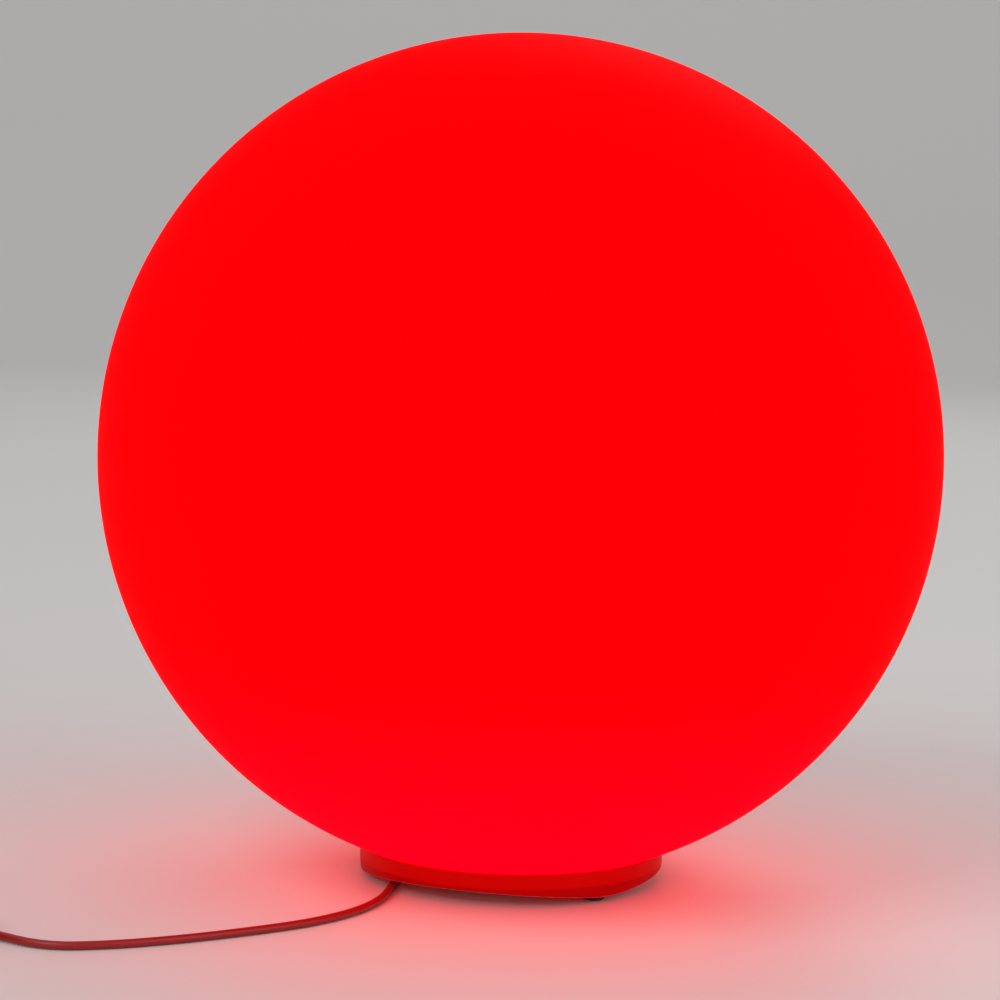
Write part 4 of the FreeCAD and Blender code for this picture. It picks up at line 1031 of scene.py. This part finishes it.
def skirt_radius(level):
    """Radius of the skirt's outside at a height: upright in the upper band and tapered below."""
    if level >= BAND_LEVEL:
        return SKIRT_RADIUS
    share = (BAND_LEVEL - level) / (BAND_LEVEL - FOOT_LEVEL)
    return SKIRT_RADIUS + (FOOT_RADIUS - SKIRT_RADIUS) * share


def edge_rounding(rim):
    """Radius of the skirt's lower edge, which gets smaller where an arch leaves less height."""
    return min(RIM_ROUND, (BAND_LEVEL - rim) * 0.3)


def skirt_section(angle):
    """The skirt's closed outline at one angle, its edges rounded."""
    rim = rim_level(angle)
    turned_in = skirt_radius(rim)
    inner = turned_in - SKIRT_WALL
    fine, crease = 0.0003, 0.00015
    round_low = edge_rounding(rim)
    section = [(FLANGE_START, SKIRT_TOP), (SKIRT_RADIUS - fine, SKIRT_TOP)]
    section += arc((SKIRT_RADIUS - fine, SKIRT_TOP - fine), fine, 90, 0, 4)[1:]
    section += [(skirt_radius(BAND_LEVEL + side), BAND_LEVEL + side) for side in (crease, -crease)]
    section += arc((turned_in - round_low, rim + round_low), round_low, 0, -90, 6)
    section += arc((inner + fine, rim + fine), fine, -90, -180, 3)
    section += [(SKIRT_RADIUS - SKIRT_WALL, FLANGE_LEVEL), (FLANGE_START, FLANGE_LEVEL)]
    return section


def skirt_mesh():
    """The skirt as one closed ring of sections."""
    return swept("skirt", [(angle, skirt_section(angle)) for angle in round_angles(480)], 40)


def mark_painted_highlight(mesh):
    """Marks the skirt's rounded lower edge, where the finish paints a highlight."""
    edge = mesh.attributes.new("edge", "FLOAT", "POINT")
    for vertex, mark in zip(mesh.vertices, edge.data):
        x, y, level = vertex.co
        rim = rim_level(math.atan2(y, x))
        rounding = edge_rounding(rim)
        is_outside = math.hypot(x, y) > skirt_radius(rim) - rounding * 0.85
        mark.value = 1.0 if is_outside and level < rim + rounding / 2 else 0.0


def cup_core():
    """The moulding's other shapes, drawn back inside the rounded skirt that covers them."""
    mesh = merged_copy("base_cup")
    inset, hair = 0.0007, 1e-5
    for vertex in mesh.vertices:
        x, y, level = vertex.co
        radius = math.hypot(x, y)
        outside = skirt_radius(level)
        if level > SKIRT_TOP + hair or radius < SKIRT_RADIUS - 0.0050:
            continue
        is_outer = radius > outside - SKIRT_WALL / 2
        is_inner = radius > outside - SKIRT_WALL - 0.0004 and level < FLANGE_LEVEL + hair
        if is_outer or is_inner:
            share = (outside - (inset if is_outer else SKIRT_WALL - inset)) / radius
            lowest = rim_level(math.atan2(y, x)) + 0.0008
            vertex.co = (x * share, y * share, min(max(level, lowest), SKIRT_TOP - 0.0005))
    smooth_by_angle(mesh, 30)
    return mesh


class BuildBase(bpy.types.Operator):
    """Builds the base moulding with its rounded skirt, and the pads it stands on"""

    bl_idname = "globe_light.build_base"
    bl_label = "Build Base"

    def execute(self, context):
        base = join("base_moulding", [cup_core(), skirt_mesh()], finish_of("base_cup"))
        # The skirt's lower edge is marked for its painted highlight.
        mark_painted_highlight(base.data)
        stand_in(base, "base_cup")
        rubber = surface("pad_rubber", colours().pad, 0.6, grain=1400.0, depth=0.00004)
        for k in (1, 2, 3):
            self.add_pad(f"foot_pad_{k}", rubber)
        dress("bottom_cover", 0.0002)
        return {"FINISHED"}

    def add_pad(self, node, rubber):
        """A rubber pad with a rounded foot and a shallow hollow under it."""
        radius = (high(node).x - low(node).x) / 2
        top, edge, hollow = high(node).z, 0.0006, 0.0004
        profile = [(0.0, hollow), (radius * 0.55, hollow * 0.75), (radius * 0.66, 0.0)]
        profile += arc((radius - edge, edge), edge, -90, 0, 5)
        profile += [(radius, top), (0.0, top)]
        pad = lathe(f"{node}_piece", profile, rubber, 48)
        spot = middle(node)
        pad.data.transform(Matrix.Translation((spot.x, spot.y, 0.0)))
        stand_in(pad, node)


# ---------------------------------------------------------------- light engine


def polygon_share(angle, sides):
    """How far a polygon reaches at an angle, as a share of its reach at the middle of a side."""
    side = 2 * math.pi / sides
    return 1 / math.cos(angle % side - side / 2)


def screw_mesh(size, length, heads_up):
    """A pan-head screw, its seat at z = 0: a domed head with a six-sided socket on a threaded shank."""
    head, height = size * 2.1, size * SCREW_HEAD
    pitch = max(size * 0.45, 0.0004)
    turns = int(length / pitch)

    def outline(angle):
        socket = size * 0.95 * math.cos(math.pi / 6) * polygon_share(angle, 6)
        points = [(0.0, height * 0.45), (socket, height * 0.45), (socket, height * 0.97)]
        points += [(head * 0.62, height), (head * 0.84, height * 0.86), (head * 0.97, height * 0.55)]
        points += [(head, height * 0.25), (head, 0.0), (size, 0.0)]
        for k in range(turns):
            start = -length * k / turns
            points += [(size, start - pitch * 0.1), (size * 0.84, start - pitch * 0.5)]
        return points + [(size * 0.8, -length), (0.0, -length)]

    sections = [(angle, outline(angle)) for angle in round_angles(24)]
    mesh = swept("screw", sections, 35, closed=False)
    if not heads_up:
        mesh.transform(Matrix.Rotation(math.pi, 4, "X"))
    return mesh


def ring_of(name, mesh, count, radius, level, first_angle, material):
    """A tree's ring of one mesh, as a plain object."""
    part = bpy.data.objects.new(f"{name}_part", mesh)
    bpy.context.scene.collection.objects.link(part)
    values = {
        "Part": part,
        "Count": count,
        "Ring Radius": radius,
        "Level": level,
        "First Angle": first_angle,
    }
    made = grown(name, ring_tree(), values, material)
    bpy.data.objects.remove(part)
    smooth_by_angle(made.data, 35)
    return made


class BuildScrews(bpy.types.Operator):
    """Places the rings of screws of the cover, the boards and the clear cover"""

    bl_idname = "globe_light.build_screws"
    bl_label = "Build Screws"

    def execute(self, context):
        for node, size, count, radius, angle, heads_up in SCREW_RINGS:
            head = size * SCREW_HEAD
            bottom, top = low(node).z, high(node).z
            seat = top - head if heads_up else bottom + head
            mesh = screw_mesh(size, top - bottom - head, heads_up)
            made = ring_of(f"{node}_ring", mesh, count, radius, seat, angle, finish_of(node))
            stand_in(made, node)
        return {"FINISHED"}


def chip_mesh():
    """One LED: a square case with a round lens well."""
    half, height, well, edge = 0.0025, 0.0016, 0.002, 0.00015
    sections = []
    for angle in round_angles(32, 0.5):
        outer = half * polygon_share(angle + math.pi / 4, 4)
        outline = [(0.0, 0.0), (outer, 0.0), (outer, height - edge), (outer - edge, height)]
        outline += [(well, height), (well * 0.8, height * 0.62), (0.0, height * 0.66)]
        sections.append((angle, outline))
    return swept("chip", sections, 35, closed=False)


class BuildLightEngine(bpy.types.Operator):
    """Builds the LEDs on their board, the heat spreader and the clear cover"""

    bl_idname = "globe_light.build_light_engine"
    bl_label = "Build Light Engine"

    def execute(self, context):
        material = finish_of("led_chips")
        level = low("led_chips").z
        outer = ring_of("outer_leds", chip_mesh(), *OUTER_LEDS, level, 0.0, material)
        inner = ring_of("inner_leds", chip_mesh(), *INNER_LEDS, level, 0.0, material)
        leds = join("leds", [outer.data, inner.data], material)
        bpy.data.objects.remove(outer)
        bpy.data.objects.remove(inner)
        stand_in(leds, "led_chips")
        for node in ("heat_spreader", "led_board", "dome_gasket"):
            dress(node)
        dress("led_dome", 0.0003)
        return {"FINISHED"}


# The nodes whose own CAD shape shows, in its finish.
COVER_NODES = ("neck_seal", "cover_gasket", "button_seal", "button_clip", "switch_plunger")
BOARD_NODES = (
    "control_board",
    "terminal_block",
    "control_chip",
    "driver_transistors",
    "capacitor",
    "choke",
    "tact_switch",
)
LEAD_NODES = ("wire_grommet", "led_leads")
CORD_NODES = ("gland_washer", "gland_body", "gland_cap", "gland_nut", "inner_lead")


class BuildInnerParts(bpy.types.Operator):
    """Dresses the cover's fittings, the control board with its parts, the seals and the gland"""

    bl_idname = "globe_light.build_inner_parts"
    bl_label = "Build Inner Parts"

    def execute(self, context):
        for node in (*COVER_NODES, *BOARD_NODES, *LEAD_NODES, *CORD_NODES):
            dress(node)
        self.add_button()
        return {"FINISHED"}

    def add_button(self):
        """The mode button: a dished cap on its grooved stem."""
        spot = middle("mode_button")
        bottom, top = low("mode_button").z, high("mode_button").z
        cap, stem, edge = 0.005, 0.002, 0.0002
        shoulder = bottom + 0.0034
        rounding, dish = 0.0006, 0.0005
        groove, groove_width, neck = low("button_clip").z, 0.0006, stem - 0.0004
        profile = [(0.0, bottom + dish), (cap * 0.6, bottom + dish * 0.6)]
        profile += arc((cap - rounding, bottom + rounding), rounding, -90, 0, 5)
        profile += [(cap, shoulder - edge), (cap - edge, shoulder), (stem, shoulder), (stem, groove)]
        profile += [(neck, groove), (neck, groove + groove_width), (stem, groove + groove_width)]
        profile += [(stem, top), (0.0, top)]
        button = lathe("mode_button_piece", profile, finish_of("mode_button"), 64)
        button.data.transform(Matrix.Translation((spot.x, spot.y, 0.0)))
        stand_in(button, "mode_button")


# ---------------------------------------------------------------- panel and registration


class GlobeLightPanel(bpy.types.Panel):
    """Lists the steps that build the light, with its sizes and colours"""

    bl_idname = "VIEW3D_PT_globe_light"
    bl_label = "Globe Light"
    bl_space_type = "VIEW_3D"
    bl_region_type = "UI"
    bl_category = "Globe Light"

    def draw(self, context):
        for step in STEPS:
            self.layout.operator(step.bl_idname)
        for settings in (context.scene.globe_light_sizes, context.scene.globe_light_colours):
            box = self.layout.box()
            for name in settings.bl_rna.properties.keys():
                if name not in ("rna_type", "name"):
                    box.prop(settings, name)


STEPS = (BuildStage, BuildCord, BuildGlobe, BuildBase, BuildScrews, BuildLightEngine, BuildInnerParts)
CLASSES = (GlobeLightSizes, GlobeLightColours, *STEPS, GlobeLightPanel)


def register():
    for entry in CLASSES:
        bpy.utils.register_class(entry)
    bpy.types.Scene.globe_light_sizes = PointerProperty(type=GlobeLightSizes)
    bpy.types.Scene.globe_light_colours = PointerProperty(type=GlobeLightColours)


def unregister():
    del bpy.types.Scene.globe_light_colours
    del bpy.types.Scene.globe_light_sizes
    for entry in reversed(CLASSES):
        bpy.utils.unregister_class(entry)


def main():
    register()
    bpy.ops.globe_light.build_stage()
    bpy.ops.globe_light.build_cord()
    bpy.ops.globe_light.build_globe()
    bpy.ops.globe_light.build_base()
    bpy.ops.globe_light.build_screws()
    bpy.ops.globe_light.build_light_engine()
    bpy.ops.globe_light.build_inner_parts()


if __name__ == "__main__":
    main()
